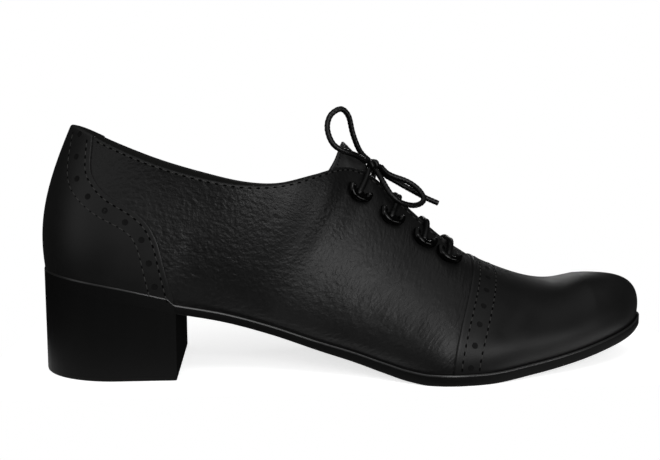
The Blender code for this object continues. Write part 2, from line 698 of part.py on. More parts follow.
def main():
    """Clear the scene and make every piece of the shoe."""
    for thing in list(bpy.data.objects):
        bpy.data.objects.remove(thing)
    leather = finish("black_leather", (0.012, 0.012, 0.012), 0.4)
    sole_leather = finish("black_sole", (0.008, 0.008, 0.008), 0.35)
    lining = finish("black_lining", (0.006, 0.006, 0.006), 0.7)
    enamel = finish("black_enamel", (0.004, 0.004, 0.004), 0.12)
    waxed_cord = finish("waxed_cord", (0.01, 0.01, 0.01), 0.45)
    make_outsole(sole_leather)
    make_heel(sole_leather)
    make_insole(lining)
    make_upper(leather)
    make_tongue(leather)
    make_eyelets(enamel)
    make_lace_bars(waxed_cord)
    make_knot(waxed_cord)
    make_cord("bow_loop_upper", BOW_LOOP_UPPER, waxed_cord)
    make_cord("bow_loop_lower", BOW_LOOP_LOWER, waxed_cord)
    make_cord("lace_end_outer", LACE_END_OUTER, waxed_cord)
    make_cord("lace_end_inner", LACE_END_INNER, waxed_cord)


if __name__ == "__main__":
    main()
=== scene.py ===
"""Heeled oxford shoe for the right foot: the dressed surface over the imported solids.

The last is drawn in shoe coordinates, in millimetres: X from the back of the heel to the
toe, Y from the outer side (negative) to the inner side (positive), Z up from the floor.
Each row of SECTIONS crosses the shoe once, from the toe tip to the back of the heel.
"""
import math
from collections import namedtuple

import bmesh
import bpy
import numpy as np
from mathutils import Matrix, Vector

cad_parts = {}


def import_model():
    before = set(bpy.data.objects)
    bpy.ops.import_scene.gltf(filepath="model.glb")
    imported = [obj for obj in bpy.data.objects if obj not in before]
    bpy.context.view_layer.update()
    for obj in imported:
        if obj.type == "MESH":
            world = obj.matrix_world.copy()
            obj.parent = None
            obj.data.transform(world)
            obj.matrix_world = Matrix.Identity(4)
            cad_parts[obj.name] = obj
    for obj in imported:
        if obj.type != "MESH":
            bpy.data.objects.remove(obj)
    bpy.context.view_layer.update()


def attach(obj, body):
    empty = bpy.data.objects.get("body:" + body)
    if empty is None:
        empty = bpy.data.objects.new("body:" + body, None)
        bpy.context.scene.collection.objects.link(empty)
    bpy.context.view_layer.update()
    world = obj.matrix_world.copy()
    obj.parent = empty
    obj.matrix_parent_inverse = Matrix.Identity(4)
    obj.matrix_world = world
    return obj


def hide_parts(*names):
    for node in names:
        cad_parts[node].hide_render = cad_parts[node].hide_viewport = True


bl_info = {
    "name": "Heeled oxford shoe",
    "version": (1, 0, 0),
    "blender": (4, 5, 0),
    "location": "3D Viewport > Sidebar > Shoe",
    "description": "Makes a right heeled oxford shoe of punched black leather with a tied lace",
    "category": "Add Mesh",
}

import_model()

MM = 0.001

# Driving sizes, in millimetres. The origin is the middle of the shoe's box, on the floor.
ORIGIN_X = 133.55
ORIGIN_Y = -2.68
LENGTH = 265.0
BALL_WIDTH = 88.0
BACK_HEIGHT = 103.0
HEEL_BREAST = 59.3
HEEL_HALF_WIDTH = 29.0
HEEL_ROUND = 33.5
HEEL_BACK = 2.5
WALL = 1.8
RAISED = 0.8
WELT = 1.3
SEAT_WELT = 0.3
SEAT_RAND = 2.0
RAND_START = 55.6
RAND_END = 59.2
RAND_FADE = 105.0
SOLE_THICKNESS = 4.0
FORE_THICKNESS = 4.8
THICKER_FROM = 100.0
THICKER_TO = 160.0
INSOLE_THICKNESS = 2.0
TONGUE_THICKNESS = 1.6
TONGUE_GAP = 0.7
TONGUE_REACH = 0.985
GAP = 0.3
LACE_RADIUS = 1.1
CORD_RADIUS = 1.22
RING_RADIUS = 4.35
RING_HEIGHT = 3.35
RING_TUBE = 1.45
TOE_SPRING_PITCH = 0.07

# The lace rings: where the wire starts and ends, in degrees round its oval, and the points
# along it and round it.
RING_TURN = (-205, 25)
RING_STEPS = 56
RING_SIDES = 16

# The twisted lace: the steps along it, its sides and plies, the length in which they turn
# once, and the depth of the groove between two plies.
LACE_STEP = 0.4
LACE_SIDES = 18
LACE_PLIES = 3
LACE_LAY = 5.0
LACE_GROOVE = 0.13

# Half the width and height of a lace hole's dish, in millimetres, and its depth as a factor. The dish
# is painted shade: the hole and the ring's shadow round the lace's foot.
LACE_HOLE_SHADE = (3.6, 2.7, 1.0)

# How many columns of points the upper has on each stretch, from the toe back, and how many
# rows from the sole to the top.
TOE_COLUMNS = 52
VAMP_COLUMNS = 62
QUARTER_COLUMNS = 92
WAIST_COLUMNS = 44
COUNTER_COLUMNS = 76
UPPER_ROWS = 58

# The bead round the outsole's edge: how far each ring is inset and lifted, in millimetres,
# from the underside, 0, or the top, 1. The first BEAD_SIDE strips between the rings are the
# lower edge and the side, and those after them, up to BEAD_TOP, the upper edge.
SOLE_BEAD = ((0.7, 0.0, 0), (0.45, 0.05, 0), (0.22, 0.16, 0), (0.07, 0.4, 0), (0.0, 0.8, 0),
             (0.0, -0.85, 1), (0.05, -0.45, 1), (0.18, -0.2, 1), (0.38, -0.06, 1),
             (0.7, 0.0, 1), (2.6, 0.04, 1))
BEAD_SIDE = 5
BEAD_TOP = 8

# The heel block's rings: how far each is shrunk towards the middle and lifted, in
# millimetres, and how far its outline has turned from the floor's, 0, to the seat's, 1.
# A ring without a lift stands at that share of the block's height.
HEEL_MIDDLE = (30.0, 0.0)
HEEL_RINGS = ((0.9, 0.0, 0.0), (0.45, 0.12, 0.0), (0.12, 0.45, 0.0), (0.0, 0.9, 0.0),
              (0.0, None, 0.2), (0.0, None, 0.4), (0.0, None, 0.6), (0.0, None, 0.8),
              (0.0, None, 1.0))

# The tongue's sheet: its rows and columns, how far its two skins lie inside its thickness,
# and how far its edge swells sideways.
SHEET_ROWS = 90
SHEET_COLUMNS = 61
SHEET_SKIN = 0.15
SHEET_SWELL = 0.5

# The tongue's row of stitches on that sheet: its first row and one past its last, and the
# columns of its two sides.
TONGUE_ROW_SPAN = (68, 87)
TONGUE_ROW_SIDES = (5, 55)

# One row for each section, from the toe tip to the back of the heel. The columns along and
# crest are percents of LENGTH, outer, inner, centre and opening are percents of BALL_WIDTH,
# and rise and dip are percents of BACK_HEIGHT. outer and inner are the sole's edge; crest,
# centre, rise and opening the ridge, facing or collar edge; dip lowers the inner collar.
# lean and fall are the wall's slopes at the foot and at the top, in degrees, heading is the
# way that its top faces, and reach and pull say how far the two slopes carry.
Section = namedtuple("Section", "along outer inner crest centre rise opening dip "
                                "lean reach heading fall pull")
SECTIONS = (
    Section(100.0, -6.4, 6.4, 89.0, 4.6, 34.9, 0.0, 0.0, 8, .45, 0, 0, .66),
    Section(98.4, 4.9, 17.4, 89.0, 4.6, 34.9, 0.0, 0.0, 9, .44, 20, 0, .64),
    Section(95.0, 16.5, 27.4, 89.0, 4.6, 34.9, 0.0, 0.0, 11, .42, 51, 0, .58),
    Section(89.0, 27.8, 35.4, 89.0, 4.6, 34.9, 0.0, 0.0, 12, .38, 90, 0, .50),
    Section(82.3, 36.7, 40.9, 85.3, 4.0, 33.1, 0.0, 0.0, 12, .34, 90, 0, .47),
    Section(76.2, 43.5, 44.7, 81.1, 3.4, 33.8, 0.0, 0.0, 12, .32, 90, 0, .45),
    Section(70.2, 50.0, 46.6, 75.9, 2.5, 37.7, 0.0, 0.0, 12, .31, 90, 0, .43),
    Section(63.8, 52.8, 46.0, 69.9, 1.4, 44.3, 0.0, 0.0, 12, .30, 90, 0, .40),
    Section(58.5, 49.0, 42.0, 65.3, 0.6, 52.0, 3.6, 0.0, 14, .29, 90, 14, .37),
    Section(53.2, 41.8, 37.0, 60.8, 0.0, 61.9, 4.0, 0.0, 16, .28, 90, 24, .34),
    Section(48.3, 37.0, 32.4, 56.6, 0.0, 71.7, 4.3, 0.0, 17, .27, 90, 30, .32),
    Section(43.4, 33.7, 29.0, 52.9, 0.0, 79.5, 5.7, 1.0, 18, .26, 90, 36, .31),
    Section(39.2, 32.3, 27.2, 49.5, 0.0, 82.7, 13.2, 2.4, 19, .26, 90, 51, .30),
    Section(35.1, 31.5, 26.7, 45.5, 0.0, 81.9, 25.3, 3.6, 20, .26, 90, 70, .30),
    Section(30.6, 31.4, 27.3, 39.6, 0.0, 77.9, 33.8, 4.0, 19, .27, 90, 83, .30),
    Section(25.7, 32.4, 29.2, 32.6, 0.0, 77.1, 35.6, 3.0, 16, .28, 91, 87, .30),
    Section(20.4, 34.3, 33.0, 24.7, 0.0, 80.9, 32.6, 1.7, 12, .29, 95, 86, .31),
    Section(14.7, 35.2, 35.2, 17.2, 0.0, 87.1, 27.0, 1.3, 9, .30, 105, 82, .33),
    Section(8.7, 31.6, 31.6, 11.0, 0.0, 94.1, 18.4, 1.0, 8, .31, 124, 75, .38),
    Section(3.4, 19.9, 19.9, 7.1, 0.0, 98.7, 8.4, 0.3, 7, .32, 150, 69, .44),
    Section(0.94, 0.0, 0.0, 5.75, 0.0, 99.8, 0.0, 0.0, 7, .32, 180, 66, .46),
)
BACK = len(SECTIONS) - 1
POLE = 3
THROAT = 7
WAIST = 13.0
SINK_START = 15.5
SINK_END = 18.0

# The sole's underside, in millimetres along and up: seat, breast, arch, tread and toe spring.
UNDERSIDE = ((0, 38.0), (20, 35.6), (40, 32.2), (59, 27.6), (78, 23.5), (98, 17.7),
             (117, 11.2), (130, 7.4), (142, 3.6), (152, 1.0), (160, 0.0), (182, 0.0),
             (205, 1.7), (225, 4.4), (245, 8.3), (265, 13.0))

# Where the raised counter ends: how far up the wall, and which section it crosses there.
COUNTER_EDGE = ((0.0, 15.67), (0.28, 16.07), (0.46, 16.38), (0.565, 16.7), (0.62, 17.07),
                (0.66, 17.54), (0.72, 17.87), (0.8, 18.11), (1.0, 18.25))

# The lace's four holes: the section and the height up the wall of each, and the section
# where its bar leaves the facing.
LACE_HOLES = ((11.43, 0.828, 11.15), (9.97, 0.800, 9.80), (8.78, 0.812, 8.75),
              (7.92, 0.800, 7.85))

# How far up the wall the top row of stitches runs, by section.
TOP_ROW = ((7.2, 0.925), (8.0, 0.93), (10.5, 0.945), (11.4, 0.962), (12.2, 0.976),
           (14.0, 0.978), (17.0, 0.978), (20.0, 0.978))

# The tongue above the facings, from the collar to its tip, in millimetres: its outer edge,
# the crease beside it, its crown, its inner edge, and the way its thickness goes.
TongueRow = namedtuple("TongueRow", "outer crease crown inner back")
TONGUE_TOP = (
    TongueRow((120.5, -16.0, 79.0), (134.4, -6.0, 82.2), (140.2, 0.6, 85.0),
              (122.5, 16.0, 78.5), (0.70, 0.0, 0.71)),
    TongueRow((125.6, -12.0, 88.0), (130.6, -7.0, 89.4), (134.0, 0.4, 91.0),
              (127.6, 12.5, 87.5), (0.78, 0.0, 0.62)),
    TongueRow((128.3, -6.5, 93.8), (128.8, -4.6, 94.8), (129.5, -1.0, 95.4),
              (129.6, 4.5, 94.4), (0.86, 0.0, 0.50)),
)

# Three points along the knot's core, in millimetres.
KNOT = ((139.6, -4.8, 84.9), (141.6, -3.0, 85.4), (143.2, -1.4, 85.8))

# The knot's three wraps: where each lies along the core, its tilt in radians and its
# radius, and the radius of the lace that makes them, in millimetres.
KNOT_WRAPS = ((-1.15, 0.35, 1.35), (0.75, -0.3, 1.45), (2.1, 0.2, 1.05))
WRAP_RADIUS = 1.02

# Where the first bar's two halves end in the knot, and the free cords' routes. The bow's two
# loops and its outer end follow the photograph; the inner end lies down the inner facing.
BAR_END_OUTER = (139.4, -7.6, 83.6)
BAR_END_INNER = (141.0, -1.0, 83.2)
BOW_LOOP_UPPER = ((139.8, -3.4, 87.6), (136.5, -5.5, 90.6), (134.1, -7.0, 94.9),
                  (132.2, -8.0, 100.3), (131.1, -9.0, 104.9), (129.5, -10.0, 107.8),
                  (127.3, -11.0, 109.1), (124.7, -12.0, 108.2), (122.6, -13.0, 106.2),
                  (121.5, -14.0, 103.3), (121.4, -15.0, 100.5), (122.2, -16.0, 97.4),
                  (123.8, -17.0, 94.6), (126.2, -17.2, 92.8), (129.2, -16.4, 91.5),
                  (132.3, -14.2, 90.5), (135.3, -10.8, 89.0), (138.1, -6.6, 87.1))
BOW_LOOP_LOWER = ((145.3, -2.6, 84.7), (148.2, -1.6, 81.8), (152.1, -1.0, 80.0),
                  (155.8, -1.5, 78.7), (159.1, -2.5, 76.9), (161.7, -4.0, 74.6),
                  (163.1, -6.0, 72.2), (162.8, -8.0, 70.2), (160.3, -10.0, 68.9),
                  (156.9, -12.2, 68.9), (153.2, -14.2, 69.9), (150.5, -15.2, 71.4),
                  (147.9, -14.6, 73.9), (146.1, -12.4, 76.9), (144.4, -9.6, 80.2),
                  (142.8, -6.4, 83.2))
LACE_END_OUTER = ((144.9, 0.8, 84.9), (147.8, 2.4, 80.9), (151.3, 2.6, 78.7),
                  (156.4, 2.5, 75.8), (161.5, 2.0, 73.0), (166.0, 2.0, 70.6),
                  (171.3, 2.0, 68.3))
LACE_END_INNER = ((141.6, 1.0, 86.7), (142.6, 4.6, 84.8), (143.6, 8.6, 80.9),
                  (143.4, 11.8, 77.6), (142.6, 14.8, 74.1), (141.0, 17.6, 70.6),
                  (139.0, 20.2, 66.8), (136.8, 22.4, 62.5))

# Soft creases of a worn-in upper, on its outer side: the section and the height up the wall
# of both ends, the height of the ridge or, negative, the depth of the trough, and the half
# width, in millimetres. The inner side has the same ones, shallower.
Crease = namedtuple("Crease", "start end swell width")
CREASES = (
    Crease((7.55, 0.74), (8.25, 0.28), -0.24, 2.0),
    Crease((8.15, 0.72), (9.10, 0.30), 0.20, 2.5),
    Crease((8.85, 0.68), (10.1, 0.33), -0.18, 2.8),
    Crease((9.80, 0.74), (11.0, 0.50), 0.14, 3.2),
    Crease((11.3, 0.70), (12.3, 0.50), -0.12, 4.0),
    Crease((5.60, 0.60), (5.95, 0.30), -0.14, 2.6),
    Crease((5.15, 0.56), (5.45, 0.34), 0.10, 3.0),
)
INNER_CREASES = 0.7

# The rows beside the counter's edge and the vamp's edge, in millimetres from it: two rows
# of stitches, with the punches between them.
COUNTER_ROWS = (2.4, 8.5)
COUNTER_PUNCHES = 5.5
VAMP_ROWS = (3.2, 10.6)
VAMP_PUNCHES = 6.8

# The counter's rows part towards the top by this share of their distance from the first.
COUNTER_SPREAD = 0.47

# The pitch of each row of punches and the lengths left bare at its two ends, in millimetres.
COUNTER_PITCH = (9.5, 8.2, 0.0)
VAMP_PITCH = (9.2, 1.5, 1.5)

# A punch from its middle outwards: its rings' radii, as shares of its own, and their lifts
# in millimetres.
PUNCH_RADII = (0.5, 0.9, 1.0, 1.06, 1.06)
PUNCH_LIFTS = (0.015, 0.03, 0.06, 0.03, -0.15)

# A thread's length as a share of the pitch, how far it lies above the leather, and the
# lengths left bare at both ends of a row, in millimetres.
THREAD_SHARE = 0.62
THREAD_LIFT = 0.06
ROW_MARGIN = 0.8

# Half the length and width of a needle hole with its shadow, in millimetres, and its depth
# as a factor: wide on most rows, small on the counter's back row, where the thread shows.
ROW_HOLE = (0.82, 0.36, 1.0)
THREAD_ROW_HOLE = (0.42, 0.24, 1.0)

# The quarters' grain: its strands lie on circles round a point in the waist, where a turn
# counts as its length at FLOW_RADIUS, and FLOW_DRIFT slides them across the shoe's width.
# Along the shoe, pebbles become strands between the two places of STRANDS_BEGIN.
FLOW_CENTRE = (95.0, 75.0)
FLOW_RADIUS = 70.0
FLOW_DRIFT = 0.05
STRANDS_BEGIN = (85, 125)

# Where the facing has less grain: the sections and heights between which it sets in, and
# the share that it loses.
FACING_SECTIONS = (10.6, 8.2)
FACING_HEIGHTS = (0.72, 0.9)
FACING_CALM = 0.6

# The calf: how its pebble is stretched, the pores' share of the grain's depth, the width of
# the clouds in its dye, in millimetres, and the tones and roughnesses that they sway between.
PEBBLE_STRETCH = (0.9, 1, 1.05)
PORE_SHARE = 0.035
DYE_CLOUD = 16.0
DYE_TONES = (0.86, 1.12)
CALF_ROUGHNESS = (0.39, 0.45)

# The finishes of one colour: the material's name, its colour in the panel, its roughness
# and specular level, and the width and depth of its grain, in millimetres, and its stretch.
# The finest grains are drawn coarser than the real ones, so that they show.
Finish = namedtuple("Finish", "material colour roughness specular grain depth stretch",
                    defaults=(0.0, 0.0, (1, 1, 1)))
FINISHES = {
    # Pigskin is matt and faintly grained, so the opening reads as a dark hollow.
    "lining": Finish("black_pigskin_lining", "lining", 0.75, 0.1, 0.9, 0.05),
    # Sock leather is a little lighter, which shows the bed that the foot stands on.
    "sock": Finish("dark_grey_sock_leather", "sock", 0.6, 0.25, 1.2, 0.06),
    # Calf that isn't polished has a soft even sheen, which sets the tongue off.
    "tongue": Finish("black_calf_tongue", "tongue", 0.5, 0.3, 1.6, 0.05),
    # Rubber gives back almost no light, so the sole's side is a plain dark band.
    "sole": Finish("black_rubber_outsole", "sole", 0.5, 0.05, 0.5, 0.01),
    # Lacquer over a moulded block is dark and even, with faint upright streaks.
    "heel": Finish("black_lacquered_heel", "heel", 0.5, 0.03, 1.6, 0.015, (1, 1, 0.04)),
    # A burnished edge is waxed and rubbed; its lighter colour is partly burnished wear and partly a
    # painted highlight, the thin bright line under the upper.
    "edge": Finish("burnished_edge_and_sheen", "edge", 0.3, 0.38),
    # The heel's front face is left matt and lies in the shade of the arch.
    "breast": Finish("matt_heel_breast", "heel", 0.9, 0.0),
    # Enamel on wire is smooth and glossy, with small sharp highlights on deep black.
    "ring": Finish("black_enamelled_wire", "ring", 0.14, 0.16),
    # Waxed cotton has a low sheen on the crests of its plies and fine fibres.
    "cord": Finish("waxed_black_cord", "cord", 0.36, 0.22, 0.3, 0.02),
    # Polyester thread is a soft grey, so each stitch stands out from the black leather.
    "thread": Finish("grey_polyester_thread", "thread", 0.5, 0.2),
    # A needle hole holds shadow, which parts one stitch from the next.
    "hole": Finish("needle_hole_shadow", "hole", 0.9, 0.05),
    # The punches' darker colour is painted shade inside the holes; cut leather has no polish, so they
    # are also duller than their surroundings.
    "punch": Finish("punch_hole_shade", "punch", 0.7, 0.12),
}

# The camera, in shoe millimetres and degrees, and the picture's focal length.
CAMERA_PLACE = (92.0, -393.0, 107.0)
CAMERA_PITCH = 7.2
CAMERA_YAW = 4.6
CAMERA_LENS = 50.02

# The light: the silk overhead whitens the floor, and its spread in degrees keeps shadows
# soft. The softboxes give the leather its sheen; each has its name, place, size and power.
LIGHT_TARGET = (0.0, 0.0, 0.04)
OVERHEAD_PLACE = (-0.15, -0.5, 1.2)
OVERHEAD_POWER = 1.0
OVERHEAD_SPREAD = 100
SOFTBOXES = (
    ("key_softbox", (0.18, -0.85, 0.28), (0.4, 0.5), 3.9),
    ("top_softbox", (-0.05, -0.6, 0.75), (0.3, 0.2), 1.2),
    ("low_softbox", (0.62, -0.62, 0.06), (0.45, 0.12), 1.25),
    ("side_softbox", (-0.80, -0.42, 0.30), (0.4, 0.4), 0.55),
    ("rim_softbox", (0.30, 1.0, 0.36), (0.35, 0.1), 0.6),
)

# How bright the studio is as the shoe sees it, the floor's own glow, and the floor's back,
# front, near and far sides, in metres.
DIM_STUDIO = 0.03
FLOOR_GLOW = 0.72
FLOOR_SIDES = (-0.155, 0.155, -0.046, 0.09)


def linear(code):
    """Return an sRGB hex colour as linear red, green and blue with full alpha."""
    channels = np.array([int(code[i:i + 2], 16) for i in (1, 3, 5)]) / 255
    light = np.where(channels <= 0.04045, channels / 12.92, ((channels + 0.055) / 1.055) ** 2.4)
    return (*light.tolist(), 1.0)


def world(points):
    """Return shoe coordinates in millimetres as world coordinates in metres."""
    return (np.asarray(points, float) - (ORIGIN_X, ORIGIN_Y, 0.0)) * MM


def cubic_spline(values, closed=False, flat_start=False, flat_end=False):
    """Return a smooth function through values at 0, 1, 2 and so on."""
    values = np.asarray(values, float)
    count = len(values)
    matrix = np.eye(count) * 4 + np.eye(count, k=1) + np.eye(count, k=-1)
    bend = np.roll(values, -1, 0) - 2 * values + np.roll(values, 1, 0)
    if closed:
        matrix[0, -1] = 1
        matrix[-1, 0] = 1
    else:
        matrix[0, :2] = (2, 1) if flat_start else (1, 0)
        matrix[-1, -2:] = (1, 2) if flat_end else (0, 1)
        bend[0] = values[1] - values[0] if flat_start else 0
        bend[-1] = values[-2] - values[-1] if flat_end else 0
    curvature = np.linalg.solve(matrix, 6 * bend.reshape(count, -1)).reshape(bend.shape)

    def evaluate(place):
        place = np.asarray(place, float)
        if closed:
            low = np.floor(place).astype(int)
            share = place - low
            low = low % count
            high = (low + 1) % count
        else:
            low = np.clip(np.floor(place).astype(int), 0, count - 2)
            share = place - low
            high = low + 1
        share = share.reshape(share.shape + (1,) * (values.ndim - 1))
        rest = 1 - share
        return (rest * values[low] + share * values[high]
                + ((rest ** 3 - rest) * curvature[low]
                   + (share ** 3 - share) * curvature[high]) / 6)

    return evaluate


def steady_curve(rows):
    """Return a smooth function through (place, value) rows that never overshoots them."""
    places, values = np.asarray(rows, float).T
    steps = np.diff(places)
    slopes = np.diff(values) / steps
    tangents = np.zeros_like(values)
    same_way = slopes[:-1] * slopes[1:] > 0
    before = 2 * steps[1:] + steps[:-1]
    after = steps[1:] + 2 * steps[:-1]
    with np.errstate(divide="ignore", invalid="ignore"):
        blended = (before + after) / (before / slopes[:-1] + after / slopes[1:])
    tangents[1:-1] = np.where(same_way, blended, 0)
    tangents[0] = slopes[0]
    tangents[-1] = slopes[-1]

    def evaluate(place):
        place = np.clip(np.asarray(place, float), places[0], places[-1])
        low = np.clip(np.searchsorted(places, place) - 1, 0, len(places) - 2)
        share = (place - places[low]) / steps[low]
        rise = share * share * (3 - 2 * share)
        return ((1 - rise) * values[low] + rise * values[low + 1]
                + share * (1 - share) ** 2 * steps[low] * tangents[low]
                - share ** 2 * (1 - share) * steps[low] * tangents[low + 1])

    return evaluate


def column(name):
    """Return one column of SECTIONS as an array."""
    return np.array([getattr(section, name) for section in SECTIONS], float)


def edge_points():
    """Return the sole's edge as a loop: tip, outer side, back, inner side."""
    along = column("along") * LENGTH / 100
    outer = np.column_stack((along, -column("outer") * BALL_WIDTH / 100))
    inner = np.column_stack((along, column("inner") * BALL_WIDTH / 100))
    return np.vstack((outer, inner[-2:0:-1]))


underside = steady_curve(UNDERSIDE)
counter_edge = steady_curve(COUNTER_EDGE)
top_row = steady_curve(TOP_ROW)
sole_edge = cubic_spline(edge_points(), closed=True)
crest_line = cubic_spline(
    np.column_stack((column("crest") * LENGTH, column("centre") * BALL_WIDTH,
                     column("rise") * BACK_HEIGHT))[POLE:] / 100, flat_end=True)
opening = steady_curve(list(enumerate(column("opening") * BALL_WIDTH / 100)))
collar_dip = steady_curve(list(enumerate(column("dip") * BACK_HEIGHT / 100)))
fullness = cubic_spline(
    np.column_stack([column(name) for name in ("lean", "reach", "fall", "pull")]),
    flat_start=True, flat_end=True)
heading_angle = cubic_spline(column("heading"))


def smooth_step(value, start, end):
    """Return 0 before start, 1 after end and a soft ramp between."""
    share = np.clip((value - start) / (end - start), 0, 1)
    return share * share * (3 - 2 * share)


def unit(vectors):
    """Return vectors scaled to length 1 along their last axis."""
    return vectors / np.linalg.norm(vectors, axis=-1, keepdims=True)


def sole_thickness(x):
    """Return the outsole's thickness: thin in the waist, thicker at the tread."""
    thicker = smooth_step(x, THICKER_FROM, THICKER_TO)
    return SOLE_THICKNESS + (FORE_THICKNESS - SOLE_THICKNESS) * thicker


def seat_height(x):
    """Return the height under the insole: the sole's top, with the rand fading out slowly."""
    return underside(x) + sole_thickness(x) + SEAT_RAND * (1 - smooth_step(x, RAND_END, RAND_FADE))


def sole_top(x):
    """Return the height of the outsole's top, which is raised by the rand at the seat."""
    rand = SEAT_RAND * (1 - smooth_step(x, RAND_START, RAND_END))
    return underside(x) + sole_thickness(x) + rand


def fold(place):
    """Return the section number and the side, -1 outer or 1 inner, of a place on the loop."""
    place = np.mod(place, 2 * BACK)
    side = np.where(place <= BACK, -1.0, 1.0)
    return np.where(place <= BACK, place, 2 * BACK - place), side


def edge_normal(place):
    """Return the direction, seen from above, that the sole's edge faces."""
    step = 1e-3
    along = sole_edge(place + step) - sole_edge(place - step)
    return unit(np.stack((-along[..., 1], along[..., 0]), -1))


def inset_edge(place, inset):
    """Return the sole's edge moved inwards by inset."""
    return sole_edge(place) - edge_normal(place) * np.asarray(inset, float)[..., None]


def on_side(section, side):
    """Return the place on the loop of a section's outer side, -1, or inner side, 1."""
    return section if side < 0 else 2 * BACK - section


def place_at(x):
    """Return the place on the loop where the sole's outer edge is at x."""
    samples = np.linspace(0, BACK, 801)
    return np.interp(-x, -sole_edge(samples)[:, 0], samples)


def upper_surface(place, height):
    """Return points on the last: a cubic Bezier curve from the foot to the top at each place.

    It leaves the foot along the wall's lean and meets the top along its fall.
    """
    place, height = np.broadcast_arrays(np.asarray(place, float), np.asarray(height, float))
    section, side = fold(place)
    lean, reach, fall, pull = np.moveaxis(fullness(section), -1, 0)
    lean = np.radians(lean)
    fall = np.radians(fall)
    heading = np.radians(heading_angle(section)) * side

    under_vamp = 1 - smooth_step(section, THROAT - 0.4, THROAT + 0.4)
    under_counter = smooth_step(section, SINK_START, SINK_END)
    under = RAISED * (under_vamp + under_counter)
    edge = sole_edge(place)
    welt = WELT + (SEAT_WELT - WELT) * (1 - smooth_step(edge[..., 0], RAND_START, RAND_END))
    normal = edge_normal(place)
    foot_plan = edge - normal * (welt + under)[..., None]
    foot = np.concatenate((foot_plan, (sole_top(foot_plan[..., 0]) + GAP)[..., None]), -1)

    top = crest_line(np.maximum(section, POLE) - POLE).copy()
    top[..., 1] += side * opening(section)
    top[..., 2] -= np.where(side > 0, collar_dip(section), 0)
    top_normal = np.stack((np.cos(heading) * np.sin(fall), np.sin(heading) * np.sin(fall),
                           np.cos(fall)), -1)
    top = top - top_normal * under[..., None]

    span = np.linalg.norm(top - foot, axis=-1)
    foot_way = np.stack((normal[..., 0] * np.sin(lean), normal[..., 1] * np.sin(lean),
                         np.cos(lean)), -1)
    spring = TOE_SPRING_PITCH * np.cos(heading) * smooth_step(section, POLE + 1, POLE - 1)
    top_way = np.stack((np.cos(heading) * np.cos(fall), np.sin(heading) * np.cos(fall),
                        -np.sin(fall) + spring), -1)
    foot_pull = foot + foot_way * (span * reach)[..., None]
    top_pull = top + top_way * (span * pull)[..., None]
    up = height[..., None]
    down = 1 - up
    return (down ** 3 * foot + 3 * down ** 2 * up * foot_pull
            + 3 * down * up ** 2 * top_pull + up ** 3 * top)


def upper_normal(place, height):
    """Return the outward normal of the last at the same places."""
    place, height = np.broadcast_arrays(np.asarray(place, float), np.asarray(height, float))
    step = 2e-3
    low = np.clip(height - step, 0, 1 - 4 * step)
    high = np.clip(height + step, 2 * step, 1 - 2 * step)
    middle = (low + high) / 2
    round_way = upper_surface(place + step, middle) - upper_surface(place - step, middle)
    up_way = upper_surface(place, high) - upper_surface(place, low)
    return unit(np.cross(up_way, round_way))


def upper_point(place, height, out=0.0):
    """Return points at a distance out from the last's surface."""
    out = np.asarray(out, float)
    return upper_surface(place, height) + upper_normal(place, height) * out[..., None]


def settle(points, side, rounds=6):
    """Return the places and heights on the wall nearest to points.

    The nearest point of a coarse grid is moved by Gauss-Newton steps on the distance.
    """
    points = np.asarray(points, float)
    places = on_side(np.linspace(0.3, BACK - 0.05, 120), side)
    heights = np.linspace(0.02, 0.98, 40)
    grid = upper_surface(places[:, None], heights[None, :]).reshape(-1, 3)
    nearest = ((points[:, None] - grid[None]) ** 2).sum(-1).argmin(1)
    place = places[nearest // len(heights)]
    height = heights[nearest % len(heights)]
    step = 1e-3
    for _ in range(rounds):
        miss = points - upper_surface(place, height)
        along = (upper_surface(place + step, height) - upper_surface(place - step, height)) / step / 2
        up = (upper_surface(place, height + step) - upper_surface(place, height - step)) / step / 2
        a, b, c = (along ** 2).sum(-1), (along * up).sum(-1), (up ** 2).sum(-1)
        d, e = (along * miss).sum(-1), (up * miss).sum(-1)
        area = a * c - b * b
        place = place + (c * d - b * e) / area
        height = height + (a * e - b * d) / area
    return place, height


def shifted_path(places, heights, shift, side):
    """Return the places and heights of a line that runs beside another at a distance shift.

    Each point goes sideways along the surface, square to the line, and settles on the wall.
    """
    points = upper_surface(places, heights)
    along = unit(np.gradient(points, axis=0))
    beside = unit(np.cross(upper_normal(places, heights), along))
    shift = np.broadcast_to(shift, len(points))[:, None]
    steps = max(1, int(np.abs(shift).max() / 3))
    for _ in range(steps):
        points = points + beside * shift / steps
        new_places, new_heights = settle(points, side)
        points = upper_surface(new_places, new_heights)
        along = unit(np.gradient(points, axis=0))
        beside = unit(np.cross(upper_normal(new_places, new_heights), along))
    return new_places, new_heights


def run_lengths(points):
    """Return the distance along a polyline from its start to each of its points."""
    return np.concatenate(([0], np.cumsum(np.linalg.norm(np.diff(points, axis=0), axis=1))))


def resample(points, pitch, start, end):
    """Return row numbers along a polyline at even steps of about pitch, between two margins."""
    lengths = run_lengths(points)
    count = max(2, int(round((lengths[-1] - start - end) / pitch)) + 1)
    wanted = np.linspace(start, lengths[-1] - end, count)
    return np.interp(wanted, lengths, np.arange(len(points)))


def at(values, numbers):
    """Return rows of values at fractional row numbers."""
    values = np.asarray(values, float)
    low = np.clip(np.floor(numbers).astype(int), 0, len(values) - 2)
    share = (numbers - low).reshape((-1,) + (1,) * (values.ndim - 1))
    return values[low] * (1 - share) + values[low + 1] * share


def grid_faces(rows, columns, closed=False):
    """Return the quads of a grid of points, whose rows wrap round when closed."""
    across = columns if closed else columns - 1
    row, place = np.meshgrid(np.arange(rows - 1), np.arange(across), indexing="ij")
    right = (place + 1) % columns
    return np.stack((row * columns + place, row * columns + right,
                     (row + 1) * columns + right, (row + 1) * columns + place), -1).reshape(-1, 4)


def join(parts):
    """Return the points and faces of several shapes as those of one."""
    points, faces, start = [], [], 0
    for own_points, own_faces in parts:
        points.append(own_points)
        faces += [part + start for part in own_faces]
        start += len(own_points)
    return np.vstack(points), faces


